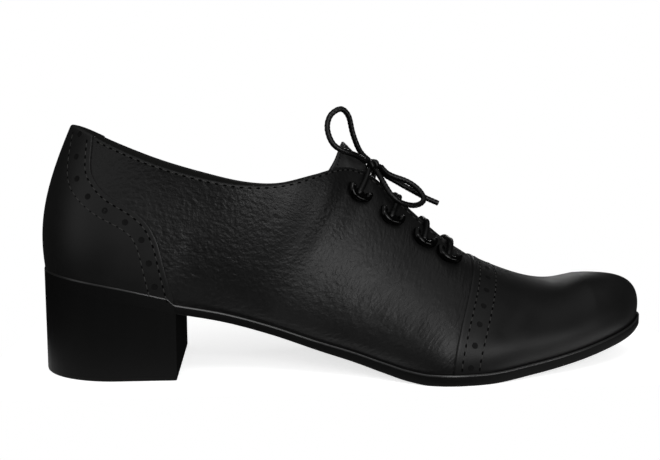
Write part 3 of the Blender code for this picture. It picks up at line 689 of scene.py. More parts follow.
def add_piece(name, points, faces, finishes, slot_name, face_looks=None, attributes=None,
              smooth_angle=60, stands_for=(), merge=False):
    """Add a mesh piece from shoe coordinates, with its finishes, and turn its faces out.

    A piece whose grids share edges also has its doubles merged, so that its skin is closed.
    """
    mesh = bpy.data.meshes.new(name)
    mesh.from_pydata(world(points).tolist(), [], [face for part in faces for face in part.tolist()])
    for label, values in (attributes or {}).items():
        values = np.asarray(values, np.float32)
        kind = "FLOAT_VECTOR" if values.ndim == 2 else "FLOAT"
        layer = mesh.attributes.new(label, kind, "POINT")
        layer.data.foreach_set("vector" if values.ndim == 2 else "value", values.ravel())
    for finish in finishes:
        mesh.materials.append(looks()[finish])
    if face_looks is not None:
        mesh.polygons.foreach_set("material_index", np.asarray(face_looks, np.int32))
    body = bmesh.new()
    body.from_mesh(mesh)
    if merge:
        bmesh.ops.remove_doubles(body, verts=body.verts, dist=2e-6)
        bmesh.ops.dissolve_degenerate(body, edges=body.edges, dist=1e-7)
    bmesh.ops.recalc_face_normals(body, faces=body.faces)
    body.to_mesh(mesh)
    body.free()
    mesh.shade_smooth()
    mesh.set_sharp_from_angle(angle=math.radians(smooth_angle))
    piece = bpy.data.objects.new(name, mesh)
    bpy.context.collection.objects.link(piece)
    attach(piece, "root")
    if stands_for:
        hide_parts(*stands_for)
    return piece


def tube_frames(route):
    """Return the two directions square to a route at each of its points, without twist.

    Each one is the last one less its part along the route.
    """
    forward = unit(np.gradient(route, axis=0))
    across = np.empty_like(forward)
    start = np.cross(forward[0], (0.3, 0.2, 1.0))
    across[0] = start / np.linalg.norm(start)
    for number in range(1, len(route)):
        turned = across[number - 1] - forward[number] * (across[number - 1] @ forward[number])
        across[number] = turned / np.linalg.norm(turned)
    return across, np.cross(forward, across)


def tube(route, radii, sides, plies=0):
    """Return the points and faces of a round or twisted tube with closed ends.

    A circle is carried along the route. Its radius is its own size less LACE_GROOVE times
    the cosine bumps of the plies, which turn once round the lace in each LACE_LAY.
    """
    across, beside = tube_frames(route)
    angle = np.arange(sides) * 2 * math.pi / sides
    radius = np.asarray(radii, float)[:, None] * np.ones(sides)
    if plies:
        turned = 2 * math.pi * run_lengths(route)[:, None] / LACE_LAY
        radius = radius - LACE_GROOVE * (1 - np.abs(np.cos(plies / 2 * (angle - turned))))
    ring = (np.cos(angle)[None, :, None] * across[:, None, :]
            + np.sin(angle)[None, :, None] * beside[:, None, :])
    points = (route[:, None, :] + radius[..., None] * ring).reshape(-1, 3)
    count = len(points)
    turn = np.arange(sides)
    after = (turn + 1) % sides
    first = np.stack((after, turn, np.full(sides, count)), -1)
    last = np.stack((turn + count - sides, after + count - sides, np.full(sides, count + 1)), -1)
    return (np.vstack((points, route[0], route[-1])),
            [grid_faces(len(route), sides, closed=True), first, last])


def copies(template, faces, centres, forward, normal):
    """Return many copies of a small shape: its X goes along forward and its Z along normal."""
    beside = np.cross(normal, forward)
    points = (centres[:, None] + template[None, :, :1] * forward[:, None]
              + template[None, :, 1:2] * beside[:, None] + template[None, :, 2:] * normal[:, None])
    offsets = np.arange(len(centres)) * len(template)
    made = [(part[None] + offsets[:, None, None]).reshape(-1, part.shape[1]) for part in faces]
    return points.reshape(-1, 3), made


def capsule(length, radius, flat=0.7):
    """Return a short thread: circles along X that shrink and sink towards both ends.

    Their height is a share, flat, of their width.
    """
    stations = np.array((-0.5, -0.42, -0.2, 0.2, 0.42, 0.5)) * length
    sizes = np.array((0.35, 0.8, 1.0, 1.0, 0.8, 0.35)) * radius
    drops = np.array((-0.9, -0.3, 0.0, 0.0, -0.3, -0.9)) * radius
    turn = np.arange(6) * math.pi / 3
    rings = np.stack((np.broadcast_to(stations[:, None], (6, 6)),
                      sizes[:, None] * np.cos(turn),
                      drops[:, None] + sizes[:, None] * np.sin(turn) * flat), -1)
    ends = np.array(((0, 1, 2, 3, 4, 5), (35, 34, 33, 32, 31, 30)))
    return rings.reshape(-1, 3), [grid_faces(6, 6, closed=True), ends]


def disc(radii, lifts, sides=18):
    """Return a round low-relief form: rings of the given radii and lifts, closed both ways."""
    turn = np.arange(sides) * 2 * math.pi / sides
    rings = np.stack((np.outer(radii, np.cos(turn)), np.outer(radii, np.sin(turn)),
                      np.broadcast_to(np.array(lifts)[:, None], (len(radii), sides))), -1)
    top = np.arange(sides)[None]
    bottom = (np.arange(sides) + (len(radii) - 1) * sides)[None, ::-1]
    return rings.reshape(-1, 3), [grid_faces(len(radii), sides, closed=True), top, bottom]


def curve_through(points, count):
    """Return count points, evenly spaced, along a cubic spline through a few points."""
    fine = cubic_spline(points)(np.linspace(0, len(points) - 1, 60 * len(points)))
    lengths = run_lengths(fine)
    wanted = np.linspace(0, lengths[-1], count)
    return np.stack([np.interp(wanted, lengths, fine[:, axis]) for axis in range(3)], -1)


def add_node(tree, kind, values=None, links=None, **settings):
    """Add a node, set its properties and input values, and link its inputs."""
    made = tree.nodes.new(kind)
    for label, value in settings.items():
        setattr(made, label, value)
    for label, value in (values or {}).items():
        made.inputs[label].default_value = value
    for label, source in (links or {}).items():
        tree.links.new(source, made.inputs[label])
    return made


def new_look(name):
    """Return a new material, its node tree and its Principled shader."""
    look = bpy.data.materials.new(name)
    look.use_nodes = True
    return look, look.node_tree, look.node_tree.nodes["Principled BSDF"]


def set_shader(shader, **values):
    """Set named sockets of a Principled shader: underscores stand for spaces."""
    for label, value in values.items():
        shader.inputs[label.replace("_", " ")].default_value = value


def leather_look(sizes, colours):
    """Black calf: polished smooth at toe and counter, where broad soft lights glide over it.

    On the quarters it was tumbled, which gives them a soft pebble that flows into short
    strands and breaks the light up. The attribute tumbled says where, strands says how far
    the pebble has become strands, and flow holds the circles that they follow, in
    millimetres. Soft clouds in the dye change the tone and the polish a little. The pores
    are drawn coarser than real ones, so that they show.
    """
    look, tree, shader = new_look("black_calf_leather")
    flow = add_node(tree, "ShaderNodeAttribute", attribute_name="flow")
    tumbled = add_node(tree, "ShaderNodeAttribute", attribute_name="tumbled")
    place = add_node(tree, "ShaderNodeTexCoord")
    strand_map = add_node(tree, "ShaderNodeMapping", {"Scale": (1 / sizes.strand_width,
                                                               1 / sizes.strand_length, 1)},
                          {"Vector": flow.outputs["Vector"]})
    strands = add_node(tree, "ShaderNodeTexNoise",
                       {"Scale": 1.0, "Detail": 2.0, "Roughness": 0.45, "Distortion": 0.35},
                       {"Vector": strand_map.outputs["Vector"]})
    flat = add_node(tree, "ShaderNodeMapping", {"Scale": PEBBLE_STRETCH},
                    {"Vector": place.outputs["Object"]})
    pebbles = add_node(tree, "ShaderNodeTexNoise",
                       {"Scale": 1000 / sizes.pebble, "Detail": 2.0, "Roughness": 0.5},
                       {"Vector": flat.outputs["Vector"]})
    pores = add_node(tree, "ShaderNodeTexNoise",
                     {"Scale": 1000 / sizes.pore, "Detail": 1.0, "Roughness": 0.5},
                     {"Vector": place.outputs["Object"]})
    front = add_node(tree, "ShaderNodeAttribute", attribute_name="strands")
    share = add_node(tree, "ShaderNodeMath", {1: sizes.strand_share},
                     {0: front.outputs["Fac"]}, operation="MULTIPLY")
    grain = add_node(tree, "ShaderNodeMix", None,
                     {0: share.outputs[0], 2: pebbles.outputs["Fac"], 3: strands.outputs["Fac"]})
    masked = add_node(tree, "ShaderNodeMath", None,
                      {0: grain.outputs[0], 1: tumbled.outputs["Fac"]}, operation="MULTIPLY")
    height = add_node(tree, "ShaderNodeMath", {1: PORE_SHARE},
                      {0: pores.outputs["Fac"], 2: masked.outputs[0]},
                      operation="MULTIPLY_ADD")
    bump = add_node(tree, "ShaderNodeBump",
                    {"Strength": 1.0, "Distance": sizes.grain_depth * MM},
                    {"Height": height.outputs[0]})
    clouds = add_node(tree, "ShaderNodeTexNoise", {"Scale": 1000 / DYE_CLOUD, "Detail": 3.0},
                      {"Vector": place.outputs["Object"]})
    mottle, rough = [add_node(tree, "ShaderNodeMapRange",
                              {"From Min": 0.3, "From Max": 0.7, "To Min": low, "To Max": high},
                              {"Value": clouds.outputs["Fac"]})
                     for low, high in (DYE_TONES, CALF_ROUGHNESS)]
    tint = add_node(tree, "ShaderNodeVectorMath", {0: linear(colours.leather)[:3]},
                    {"Scale": mottle.outputs["Result"]}, operation="SCALE")
    tree.links.new(tint.outputs["Vector"], shader.inputs["Base Color"])
    tree.links.new(rough.outputs["Result"], shader.inputs["Roughness"])
    tree.links.new(bump.outputs["Normal"], shader.inputs["Normal"])
    set_shader(shader, Specular_IOR_Level=0.22)
    return look


def plain_look(finish, colours):
    """Return a finish of one colour. Its grain is a fine noise in bump and roughness."""
    look, tree, shader = new_look(finish.material)
    set_shader(shader, Roughness=finish.roughness, Specular_IOR_Level=finish.specular,
               Base_Color=linear(getattr(colours, finish.colour)))
    if finish.grain:
        place = add_node(tree, "ShaderNodeTexCoord")
        sized = add_node(tree, "ShaderNodeMapping", {"Scale": finish.stretch},
                         {"Vector": place.outputs["Object"]})
        noise = add_node(tree, "ShaderNodeTexNoise",
                         {"Scale": 1000 / finish.grain, "Detail": 2.0, "Roughness": 0.5},
                         {"Vector": sized.outputs["Vector"]})
        bump = add_node(tree, "ShaderNodeBump", {"Strength": 1.0, "Distance": finish.depth * MM},
                        {"Height": noise.outputs["Fac"]})
        spread = add_node(tree, "ShaderNodeMapRange",
                          {"From Min": 0.3, "From Max": 0.7, "To Min": finish.roughness * 0.9,
                           "To Max": min(1.0, finish.roughness * 1.12)},
                          {"Value": noise.outputs["Fac"]})
        tree.links.new(spread.outputs["Result"], shader.inputs["Roughness"])
        tree.links.new(bump.outputs["Normal"], shader.inputs["Normal"])
    return look


LOOKS = {}


def looks():
    """Return the materials by name, made once from the panel's sizes and colours."""
    if not LOOKS:
        colours = bpy.context.scene.shoe_colours
        LOOKS["leather"] = leather_look(bpy.context.scene.shoe_sizes, colours)
        for name, finish in FINISHES.items():
            LOOKS[name] = plain_look(finish, colours)
    return LOOKS


def millimetres(label, meaning, default, low, high):
    """Return a setting for a size in millimetres, with its limits."""
    return bpy.props.FloatProperty(name=label, description=f"{meaning}, in mm",
                                   default=default, min=low, max=high)


def hex_colour(label, thing, code):
    """Return a setting for a colour, as an sRGB hex code."""
    return bpy.props.StringProperty(name=label, description=f"Colour of {thing}, as a hex code",
                                    default=code)


class ShoeSizes(bpy.types.PropertyGroup):
    """Sizes of the shoe's fine details."""

    stitch_pitch: millimetres("Stitch pitch", "Distance from one stitch to the next", 3.3, 1.5, 6)
    thread: millimetres("Thread radius", "Radius of the sewing thread", 0.2, 0.1, 0.6)
    punch: millimetres("Punch diameter", "Diameter of the decorative punches", 2.4, 1, 4)
    pebble: millimetres("Pebble width", "Width of one pebble of the tumbled grain", 1.8, 0.5, 8)
    strand_width: millimetres("Strand width", "Width of one strand of the flowing grain",
                              1.2, 0.5, 8)
    strand_length: millimetres("Strand length", "Length of one strand of the flowing grain",
                               3.2, 0.5, 20)
    strand_share: bpy.props.FloatProperty(
        name="Strand share", description="How much of the grain is strands and not pebbles",
        default=0.75, min=0, max=1, subtype="FACTOR")
    grain_depth: millimetres("Grain depth", "Depth of the tumbled grain", 0.36, 0, 2)
    pore: millimetres("Pore width", "Width of the fine pores on smooth leather", 0.8, 0.2, 3)


class ShoeColours(bpy.types.PropertyGroup):
    """Colours of the shoe's materials, as sRGB hex codes."""

    leather: hex_colour("Leather", "the upper", "#101010")
    tongue: hex_colour("Tongue", "the tongue", "#262626")
    lining: hex_colour("Lining", "the lining", "#141413")
    sock: hex_colour("Sock", "the sock", "#2a2928")
    sole: hex_colour("Sole", "the outsole", "#090909")
    # The sole edge's lighter colour is partly burnished wear and partly a painted highlight.
    edge: hex_colour("Sole edge", "the outsole's burnished upper edge", "#1a1a1a")
    heel: hex_colour("Heel", "the heel block", "#0e0e0e")
    ring: hex_colour("Rings", "the lace rings", "#020202")
    cord: hex_colour("Lace", "the lace", "#060606")
    thread: hex_colour("Thread", "the sewing thread", "#2c2c2b")
    # This colour also paints the lace holes' dishes; both are painted shade.
    hole: hex_colour("Needle holes", "the needle holes' insides", "#020202")
    # The punches' colour is painted shade inside the holes.
    punch: hex_colour("Punches", "the punches' insides", "#060606")


def side_columns():
    """Return one side's columns: the way each runs, its share or section, and its raise.

    Kind 0 is a plain section, 1 leans with the counter's edge in the waist and 2 leans
    with it on the counter. Raise goes from 1 to 0 across the rounded edges of overlays.
    """
    vamp_edge = ((-0.075, 1.0), (-0.045, 1.0), (-0.025, 0.92), (-0.010, 0.70),
                 (0.0, 0.35), (0.002, 0.0), (0.02, 0.0), (0.05, 0.0))
    counter_step = ((0.0004, 0.35), (0.0025, 0.70), (0.006, 0.92), (0.011, 1.0), (0.018, 1.0))
    toe = [(0, section, 1.0) for section in np.linspace(0, POLE, TOE_COLUMNS)[:-1]]
    vamp = [(0, section, 1.0) for section in np.linspace(POLE, THROAT - 0.12, VAMP_COLUMNS)]
    seam = [(0, THROAT + shift, level) for shift, level in vamp_edge]
    quarter = [(0, section, 0.0) for section in np.linspace(THROAT + 0.1, WAIST, QUARTER_COLUMNS)]
    waist = [(1, share, 0.0) for share in np.linspace(0, 1, WAIST_COLUMNS)[1:]]
    step = [(2, share, level) for share, level in counter_step]
    counter = [(2, share, 1.0) for share in np.linspace(0.03, 1, COUNTER_COLUMNS)]
    return np.array(toe + vamp + seam + quarter + waist + step + counter)


def column_sections(columns, heights):
    """Return the section of each column at each height."""
    kind, share = columns[:, 0][:, None], columns[:, 1][:, None]
    edge = counter_edge(heights)[None, :]
    return np.where(kind == 0, share + 0 * edge,
                    np.where(kind == 1, WAIST + share * (edge - WAIST),
                             edge + share * (BACK - edge)))


def crease_swell(points):
    """Return how far the creases lift or sink points of the upper.

    Each crease adds its swell times a bell curve of the distance to its line.
    """
    total = np.zeros(points.shape[:-1])
    for crease in CREASES:
        sections, heights = np.array((crease.start, crease.end)).T
        for side, share in ((-1, 1.0), (1, INNER_CREASES)):
            near, far = upper_surface(on_side(sections, side), heights)
            way = far - near
            along = np.clip(((points - near) @ way) / (way @ way), 0, 1)
            distance = np.linalg.norm(points - near - along[..., None] * way, axis=-1)
            total += share * crease.swell * np.exp(-(distance / crease.width) ** 2)
    return total


def upper_skin():
    """Return the upper's columns, and the places, heights and sections of its grid.

    The heights of an open column stop half a wall under the top, where the edge turns.
    """
    side = side_columns()
    columns = np.vstack((side, side[-2:0:-1]))
    inner = np.arange(len(columns)) >= len(side)
    flat_heights = np.linspace(0, 1, UPPER_ROWS)
    sections = column_sections(columns, flat_heights)
    places = np.where(inner[:, None], 2 * BACK - sections, sections)
    is_open = (columns[:, 0] > 0) | (columns[:, 1] > THROAT + 0.001)
    pace = np.linalg.norm(upper_surface(places[:, -1], 1.0)
                          - upper_surface(places[:, -1], 0.99), axis=-1) / 0.01
    top = np.where(is_open, 1 - (WALL / 2) / pace, 1.0)
    heights = flat_heights[None, :] * top[:, None]
    return columns, places, heights, is_open, sections


def make_upper():
    """Make the hollow upper as one closed skin: outside, rounded top edge and lining.

    Outside points stand out from the last by the overlays' raise, lining points lie a wall
    inside it, and the top edge is a half circle between the two.
    """
    columns, places, heights, is_open, sections = upper_skin()
    raises = columns[:, 2][:, None] * RAISED * np.ones_like(heights)
    outer = upper_point(places, heights, raises + crease_swell(upper_surface(places, heights)))
    lining = upper_point(places, heights, np.full_like(heights, -WALL))
    outer[:, 0, 2] -= GAP
    lining[:, 0, 2] -= GAP
    count, rows = heights.shape

    middle = (outer[:, -1] + lining[:, -1]) / 2
    across = (outer[:, -1] - lining[:, -1]) / 2
    rise_way = unit(upper_surface(places[:, -1], 1.0) - upper_surface(places[:, -1], 0.97))
    rise = rise_way * np.where(is_open, np.linalg.norm(across, axis=-1), 0)[:, None]
    turns = np.radians((25, 55, 90, 125, 155))
    rim = (middle[:, None] + across[:, None] * np.cos(turns)[None, :, None]
           + rise[:, None] * np.sin(turns)[None, :, None])

    closed = np.flatnonzero(~is_open)
    mirror = (-closed) % count
    toe = np.flatnonzero((columns[:, 0] == 0) & (columns[:, 1] <= POLE + 1e-9))
    for skin in (outer, lining):
        skin[closed, -1] = (skin[closed, -1] + skin[mirror, -1]) / 2
        skin[toe, -1] = skin[toe, -1].mean(0)
    steps = np.cos(turns)[None, :, None] / 2
    rim[closed] = (outer[closed, -1][:, None] * (0.5 + steps)
                   + lining[closed, -1][:, None] * (0.5 - steps))

    skin = np.concatenate((outer, rim, lining[:, ::-1]), axis=1)
    width = skin.shape[1]
    points = skin.reshape(-1, 3)
    column, level = np.meshgrid(np.arange(count), np.arange(width), indexing="ij")
    after = (column + 1) % count
    above = (level + 1) % width
    quads = np.stack((column * width + level, after * width + level,
                      after * width + above, column * width + above), -1)
    on_rim = (level >= rows - 1) & (level < rows + len(turns))
    wanted = ~on_rim | (is_open[column] | is_open[after])
    face_looks = (level[wanted] >= rows + len(turns) - 1).astype(int)

    across_mm = points[:, 0] - FLOW_CENTRE[0]
    up_mm = points[:, 2] - FLOW_CENTRE[1]
    flow = np.stack((np.hypot(across_mm, up_mm), np.arctan2(up_mm, across_mm) * FLOW_RADIUS,
                     points[:, 1] * FLOW_DRIFT), -1)
    full_sections = np.concatenate((sections, np.repeat(sections[:, -1:], width - rows, 1)), 1)
    full_heights = np.concatenate((heights, np.ones((count, width - rows))), 1)
    on_facing = (smooth_step(full_sections.ravel(), *FACING_SECTIONS)
                 * smooth_step(full_heights.ravel(), *FACING_HEIGHTS))
    tumbled = (1 - np.repeat(columns[:, 2], width)) * (1 - FACING_CALM * on_facing)
    strands = smooth_step(points[:, 0], *STRANDS_BEGIN)
    return add_piece("upper_leather", points, [quads[wanted]], ["leather", "lining"], "leather",
                     face_looks, {"flow": flow, "tumbled": tumbled, "strands": strands},
                     smooth_angle=50, stands_for=("upper",), merge=True)


def loop_places(count):
    """Return places all round the sole's loop, closer together at the toe and the rand."""
    toe = np.linspace(0, POLE, count // 4)[:-1]
    middle = np.linspace(POLE, place_at(RAND_END), count // 2)
    rand = np.linspace(place_at(RAND_END), place_at(RAND_START), 9)[1:]
    seat = np.linspace(place_at(RAND_START), BACK, count // 4)[1:]
    side = np.concatenate((toe, middle, rand, seat))
    return np.concatenate((side, 2 * BACK - side[-2:0:-1]))


def cross_fill(loop, height_of, rungs, partner):
    """Return straight rungs of points across a loop, from its outer to its inner side.

    Rung number i joins point i to point partner - i. Where height_of is given, the points
    between the ends take their height from it.
    """
    count = len(loop)
    half = count // 2
    outer = loop[np.arange(half + 1)]
    inner = loop[(partner - np.arange(half + 1)) % count]
    share = np.linspace(0, 1, rungs)[None, :, None]
    fill = outer[:, None] * (1 - share) + inner[:, None] * share
    if height_of is not None:
        fill[:, 1:-1, 2] = height_of(fill[:, 1:-1, 0])
    return fill


def closed_block(rings, heights_of, rungs, partner=0):
    """Return a block: closed rings of points, with the first and the last filled across."""
    parts = [(np.vstack(rings), [grid_faces(len(rings), len(rings[0]), closed=True)])]
    for ring, height_of in zip((rings[0], rings[-1]), heights_of):
        fill = cross_fill(ring, height_of, rungs, partner)
        parts.append((fill.reshape(-1, 3), [grid_faces(*fill.shape[:2])]))
    return join(parts)


def make_outsole():
    """Make the outsole: a rounded bead round the edge, the rand, a tread and a top.

    The side follows the sole's edge; each ring of the bead is inset and lifted from the
    underside, level 0, or the top, level 1. Over the heel the lower edge stays square.
    """
    places = loop_places(300)
    over_heel = smooth_step(sole_edge(places)[:, 0], HEEL_BREAST + 1, HEEL_BREAST)
    rings = []
    for inset, lift, level in SOLE_BEAD:
        kept = 1.0 if level else 1 - over_heel
        plan = inset_edge(places, inset * kept * np.ones(len(places)))
        base = sole_top(plan[:, 0]) if level else underside(plan[:, 0])
        rings.append(np.column_stack((plan, base + lift * kept)))
    points, faces = closed_block(rings, (underside, None), 16)
    face_looks = np.zeros(sum(len(part) for part in faces), int)
    on_seat = np.tile(sole_edge(places)[:, 0] < HEEL_BREAST, BEAD_SIDE)
    face_looks[:len(on_seat)][on_seat] = 2
    # The upper edge's lighter colour is partly a painted highlight: the bright line under the upper.
    face_looks[BEAD_SIDE * len(places):BEAD_TOP * len(places)] = 1
    return add_piece("outsole_rubber", points, faces, ["sole", "edge", "heel"], "sole",
                     face_looks, stands_for=("outsole",), merge=True)


def heel_plan(places, level):
    """Return the heel's outline between the floor, level 0, and the seat, level 1.

    On the floor it is a D: straight sides and half an ellipse at the back.
    """
    seat = sole_edge(places)
    x = np.minimum(seat[:, 0], HEEL_BREAST)
    back = np.clip((HEEL_BACK + HEEL_ROUND - x) / HEEL_ROUND, 0, 1)
    floor_y = np.sign(seat[:, 1]) * HEEL_HALF_WIDTH * np.sqrt(1 - back ** 2)
    y = floor_y + (seat[:, 1] - floor_y) * level
    return np.column_stack((x, y))


def heel_top(x):
    """Return the height of the heel's top, just under the outsole."""
    return underside(x) - 0.02


def make_heel():
    """Make the heel block: outlines from floor to seat, shrunk a little at the bottom edge."""
    outer = np.linspace(place_at(HEEL_BREAST), BACK, 61)
    places = np.concatenate((outer, 2 * BACK - outer[-2::-1]))
    rings = []
    for shrink, lift, level in HEEL_RINGS:
        plan = heel_plan(places, level)
        plan = plan - shrink * unit(plan - HEEL_MIDDLE)
        height = heel_top(plan[:, 0]) * level if lift is None else np.full(len(plan), lift)
        rings.append(np.column_stack((plan, height)))
    points, faces = closed_block(rings, (None, heel_top), 12, partner=-1)
    face_looks = np.zeros(sum(len(part) for part in faces), int)
    face_looks[np.arange(1, len(rings)) * len(places) - 1] = 1
    return add_piece("heel_block", points, faces, ["heel", "breast"], "heel_block", face_looks,
                     smooth_angle=40, stands_for=("heel",), merge=True)


def make_insole():
    """Make the sock and insole: the sole's edge moved in by the wall, with a soft top edge."""
    places = loop_places(200)
    rim = WELT + WALL + 0.9
    rings = []
    for inset, level, lift in ((rim, 0, 0.0), (rim - 0.2, 1, -0.6), (rim - 0.1, 1, -0.15),
                               (rim + 0.5, 1, 0.0)):
        plan = inset_edge(places, np.full(len(places), inset))
        if level:
            base = seat_height(plan[:, 0]) + GAP + INSOLE_THICKNESS + lift
        else:
            base = np.maximum(sole_top(plan[:, 0]), sole_top(plan[:, 0] - 1.5)) + 0.1
        rings.append(np.column_stack((plan, base)))
    points, faces = closed_block(rings, (None, None), 20)
    return add_piece("insole_sock", points, faces, ["sock"], "lining", stands_for=("insole",),
                     merge=True)


def tongue_rows(drop):
    """Return the tongue's cross rows at a depth under the facings, from the vamp up.

    Under the facings a row follows the wall down from the ridge on both sides; above the
    collar it joins the four corners of a row of TONGUE_TOP by straight lines.
    """
    across = np.array((0.0, 0.25, 0.5, 0.75, 1.0))
    rows = []
    for section in np.linspace(THROAT - 0.5, 11.0, 9):
        low = 0.80 - 0.02 * (section - THROAT)
        heights = low + (TONGUE_REACH - low) * across
        depth = -WALL - TONGUE_GAP - drop
        outer, inner = [upper_point(np.full(len(heights), on_side(section, side)), heights, depth)
                        for side in (-1, 1)]
        middle = (upper_point(section, 1.0, depth)
                  + upper_point(on_side(section, 1), 1.0, depth)) / 2
        rows.append(np.vstack((outer, middle, inner[::-1])))
    for row in TONGUE_TOP:
        corners = np.array((row.outer, row.crease, row.crown, row.inner))
        line = np.array([np.interp(np.arange(11), (0, 4, 6, 10), corners[:, axis])
                         for axis in range(3)]).T
        rows.append(line - drop * np.array(row.back))
    return np.array(rows)


def tongue_sheet(drop):
    """Return the tongue's sheet at a depth: straight between rows, then eased.

    Each easing step blends a row with a quarter of each neighbour; across is a spline.
    """
    rows = tongue_rows(drop)
    down = at(rows, np.linspace(0, len(rows) - 1, SHEET_ROWS))
    for _ in range(2):
        down[1:-1] = down[1:-1] / 2 + (down[:-2] + down[2:]) / 4
    return np.swapaxes(cubic_spline(np.swapaxes(down, 0, 1))(
        np.linspace(0, rows.shape[1] - 1, SHEET_COLUMNS)), 0, 1)


def make_tongue():
    """Make the tongue: two sheets a thickness apart, with a half-round edge between them.

    The edge swells sideways from the middle sheet by SHEET_SWELL, and upwards at the tip.
    """
    top, under, middle = [tongue_sheet(drop) for drop in (
        SHEET_SKIN, TONGUE_THICKNESS - SHEET_SKIN, TONGUE_THICKNESS / 2)]
    left = middle[:, :1] + unit(middle[:, :1] - middle[:, 1:2]) * SHEET_SWELL
    right = middle[:, -1:] + unit(middle[:, -1:] - middle[:, -2:-1]) * SHEET_SWELL
    ring = np.concatenate((top, right, under[:, ::-1], left), axis=1)
    tip = middle[-1] + unit(middle[-1] - middle[-2]) * 0.4
    length, width = ring.shape[:2]
    points = np.vstack((ring.reshape(-1, 3), tip, middle[0]))
    faces = [grid_faces(length, width, closed=True)]
    across = np.arange(SHEET_COLUMNS)
    for row, start in ((length - 1, length * width), (0, length * width + SHEET_COLUMNS)):
        near = row * width + across
        far = row * width + 2 * SHEET_COLUMNS - across
        seam = start + across
        for edge in (near, far):
            faces.append(np.stack((edge[:-1], edge[1:], seam[1:], seam[:-1]), -1))
        right_end = row * width + SHEET_COLUMNS
        left_end = row * width + width - 1
        faces.append(np.array([[right_end, near[-1], seam[-1]], [right_end, seam[-1], far[-1]],
                               [left_end, near[0], seam[0]], [left_end, seam[0], far[0]]]))
    return add_piece("tongue_leather", points, faces, ["tongue"], "tongue_leather",
                     stands_for=("tongue",), merge=True)


def wall_frame(place, height):
    """Return a point on the wall, its normal, and the ways up the wall and round it."""
    point = upper_surface(place, height)
    normal = upper_normal(place, height)
    up = upper_surface(place, height + 0.02) - point
    up -= normal * np.dot(up, normal)
    up /= np.linalg.norm(up)
    return point, normal, up, np.cross(normal, up)


def make_rings():
    """Make the eight open lace rings: a circle of wire carried along part of an ellipse.

    The wire closes in a ball at each end, which swells by a bell curve.
    """
    turns = np.radians(np.linspace(*RING_TURN, RING_STEPS))
    share = np.linspace(0, 1, len(turns))
    end = np.minimum(share, 1 - share) * len(turns) / 3.2
    ball = 1 + 0.2 * np.exp(-((np.clip(end, 0, 9) - 1.0) / 0.8) ** 2)
    radii = RING_TUBE * np.sqrt(np.clip(1 - (1 - np.clip(end, 0.02, 1)) ** 2, 0.02, 1)) * ball
    parts = []
    for section, height, _ in LACE_HOLES:
        for side in (-1, 1):
            point, normal, up, beside = wall_frame(on_side(section, side), height)
            centre = point + normal * (RING_TUBE + GAP + 0.1)
            parts.append(tube(centre + RING_RADIUS * np.cos(turns)[:, None] * beside
                              + RING_HEIGHT * np.sin(turns)[:, None] * up, radii, RING_SIDES))
    names = [f"eyelet_{side}_{number}" for side in ("outer", "inner") for number in range(1, 5)]
    return add_piece("lace_rings", *join(parts), ["ring"], "enamelled_metal", stands_for=names)


def make_lace(node, corners):
    """Make one stretch of twisted lace through a few corners, and return it and its route."""
    length = np.linalg.norm(np.diff(corners, axis=0), axis=1).sum()
    route = curve_through(corners, int(length / LACE_STEP))
    points, faces = tube(route, np.full(len(route), CORD_RADIUS), LACE_SIDES, LACE_PLIES)
    piece = add_piece(f"{node}_cord", points, faces, ["cord"], "waxed_cord", stands_for=(node,))
    return piece, route


def make_lace_bars():
    """Make the lace between the rings: it comes up out of each hole and crosses the facings.

    Each bar is a spline through points a lace's radius above the leather.
    """
    lift = LACE_RADIUS + GAP + 0.15
    for number, (section, height, edge) in enumerate(LACE_HOLES, 1):
        (root, foot, middle, shoulder), (far_root, far_foot, far_middle, far_shoulder) = [
            (upper_point(on_side(section, side), height - 0.012, -0.9),
             upper_point(on_side(section, side), height, lift - 0.25),
             upper_point(on_side((section + edge) / 2, side), (height + 1) / 2, lift),
             upper_point(on_side(edge, side), 0.97, lift - 0.2)) for side in (-1, 1)]
        if number == 1:
            make_lace("lace_bar_1_outer", (root, foot, middle, BAR_END_OUTER))
            make_lace("lace_bar_1_inner", (far_root, far_foot, far_middle, far_shoulder,
                                           BAR_END_INNER))
        else:
            crown = (shoulder + far_shoulder) / 2 + (0.2, 0, -0.3)
            make_lace(f"lace_bar_{number}", (root, foot, middle, shoulder, crown, far_shoulder,
                                             far_middle, far_foot, far_root))


def make_cord(node, corners):
    piece, route = make_lace(node, corners)


def make_bow():
    """Make the knot, the bow's two loops and the lace's two ends.

    The knot is three tilted rings round its core: a circle carried round a circle.
    """
    ways = np.array(KNOT)
    axis = unit(ways[-1] - ways[0])
    side = unit(np.cross(axis, (0.0, 0.3, 1.0)))
    third = np.cross(axis, side)
    turns = np.linspace(0, 2 * math.pi, 40)[:-1, None]
    angle = (np.arange(12) * math.pi / 6)[None, :, None]
    wraps = []
    for along, tilt, size in KNOT_WRAPS:
        lean = axis * np.cos(tilt) + side * np.sin(tilt)
        first = unit(np.cross(lean, third))
        outward = np.cos(turns) * first + np.sin(turns) * np.cross(lean, first)
        ring = ways[1] + axis * along + size * outward
        points = ring[:, None] + WRAP_RADIUS * (np.cos(angle) * outward[:, None]
                                                + np.sin(angle) * lean)
        points = points.reshape(-1, 3)
        wraps.append((points, [grid_faces(len(turns) + 1, 12, closed=True) % len(points)]))
    knot = add_piece("lace_knot_wraps", *join(wraps), ["cord"], "waxed_cord",
                     stands_for=("lace_knot",))
    make_cord("bow_loop_upper", BOW_LOOP_UPPER)
    make_cord("bow_loop_lower", BOW_LOOP_LOWER)
    make_cord("lace_end_outer", LACE_END_OUTER)
    make_cord("lace_end_inner", LACE_END_INNER)


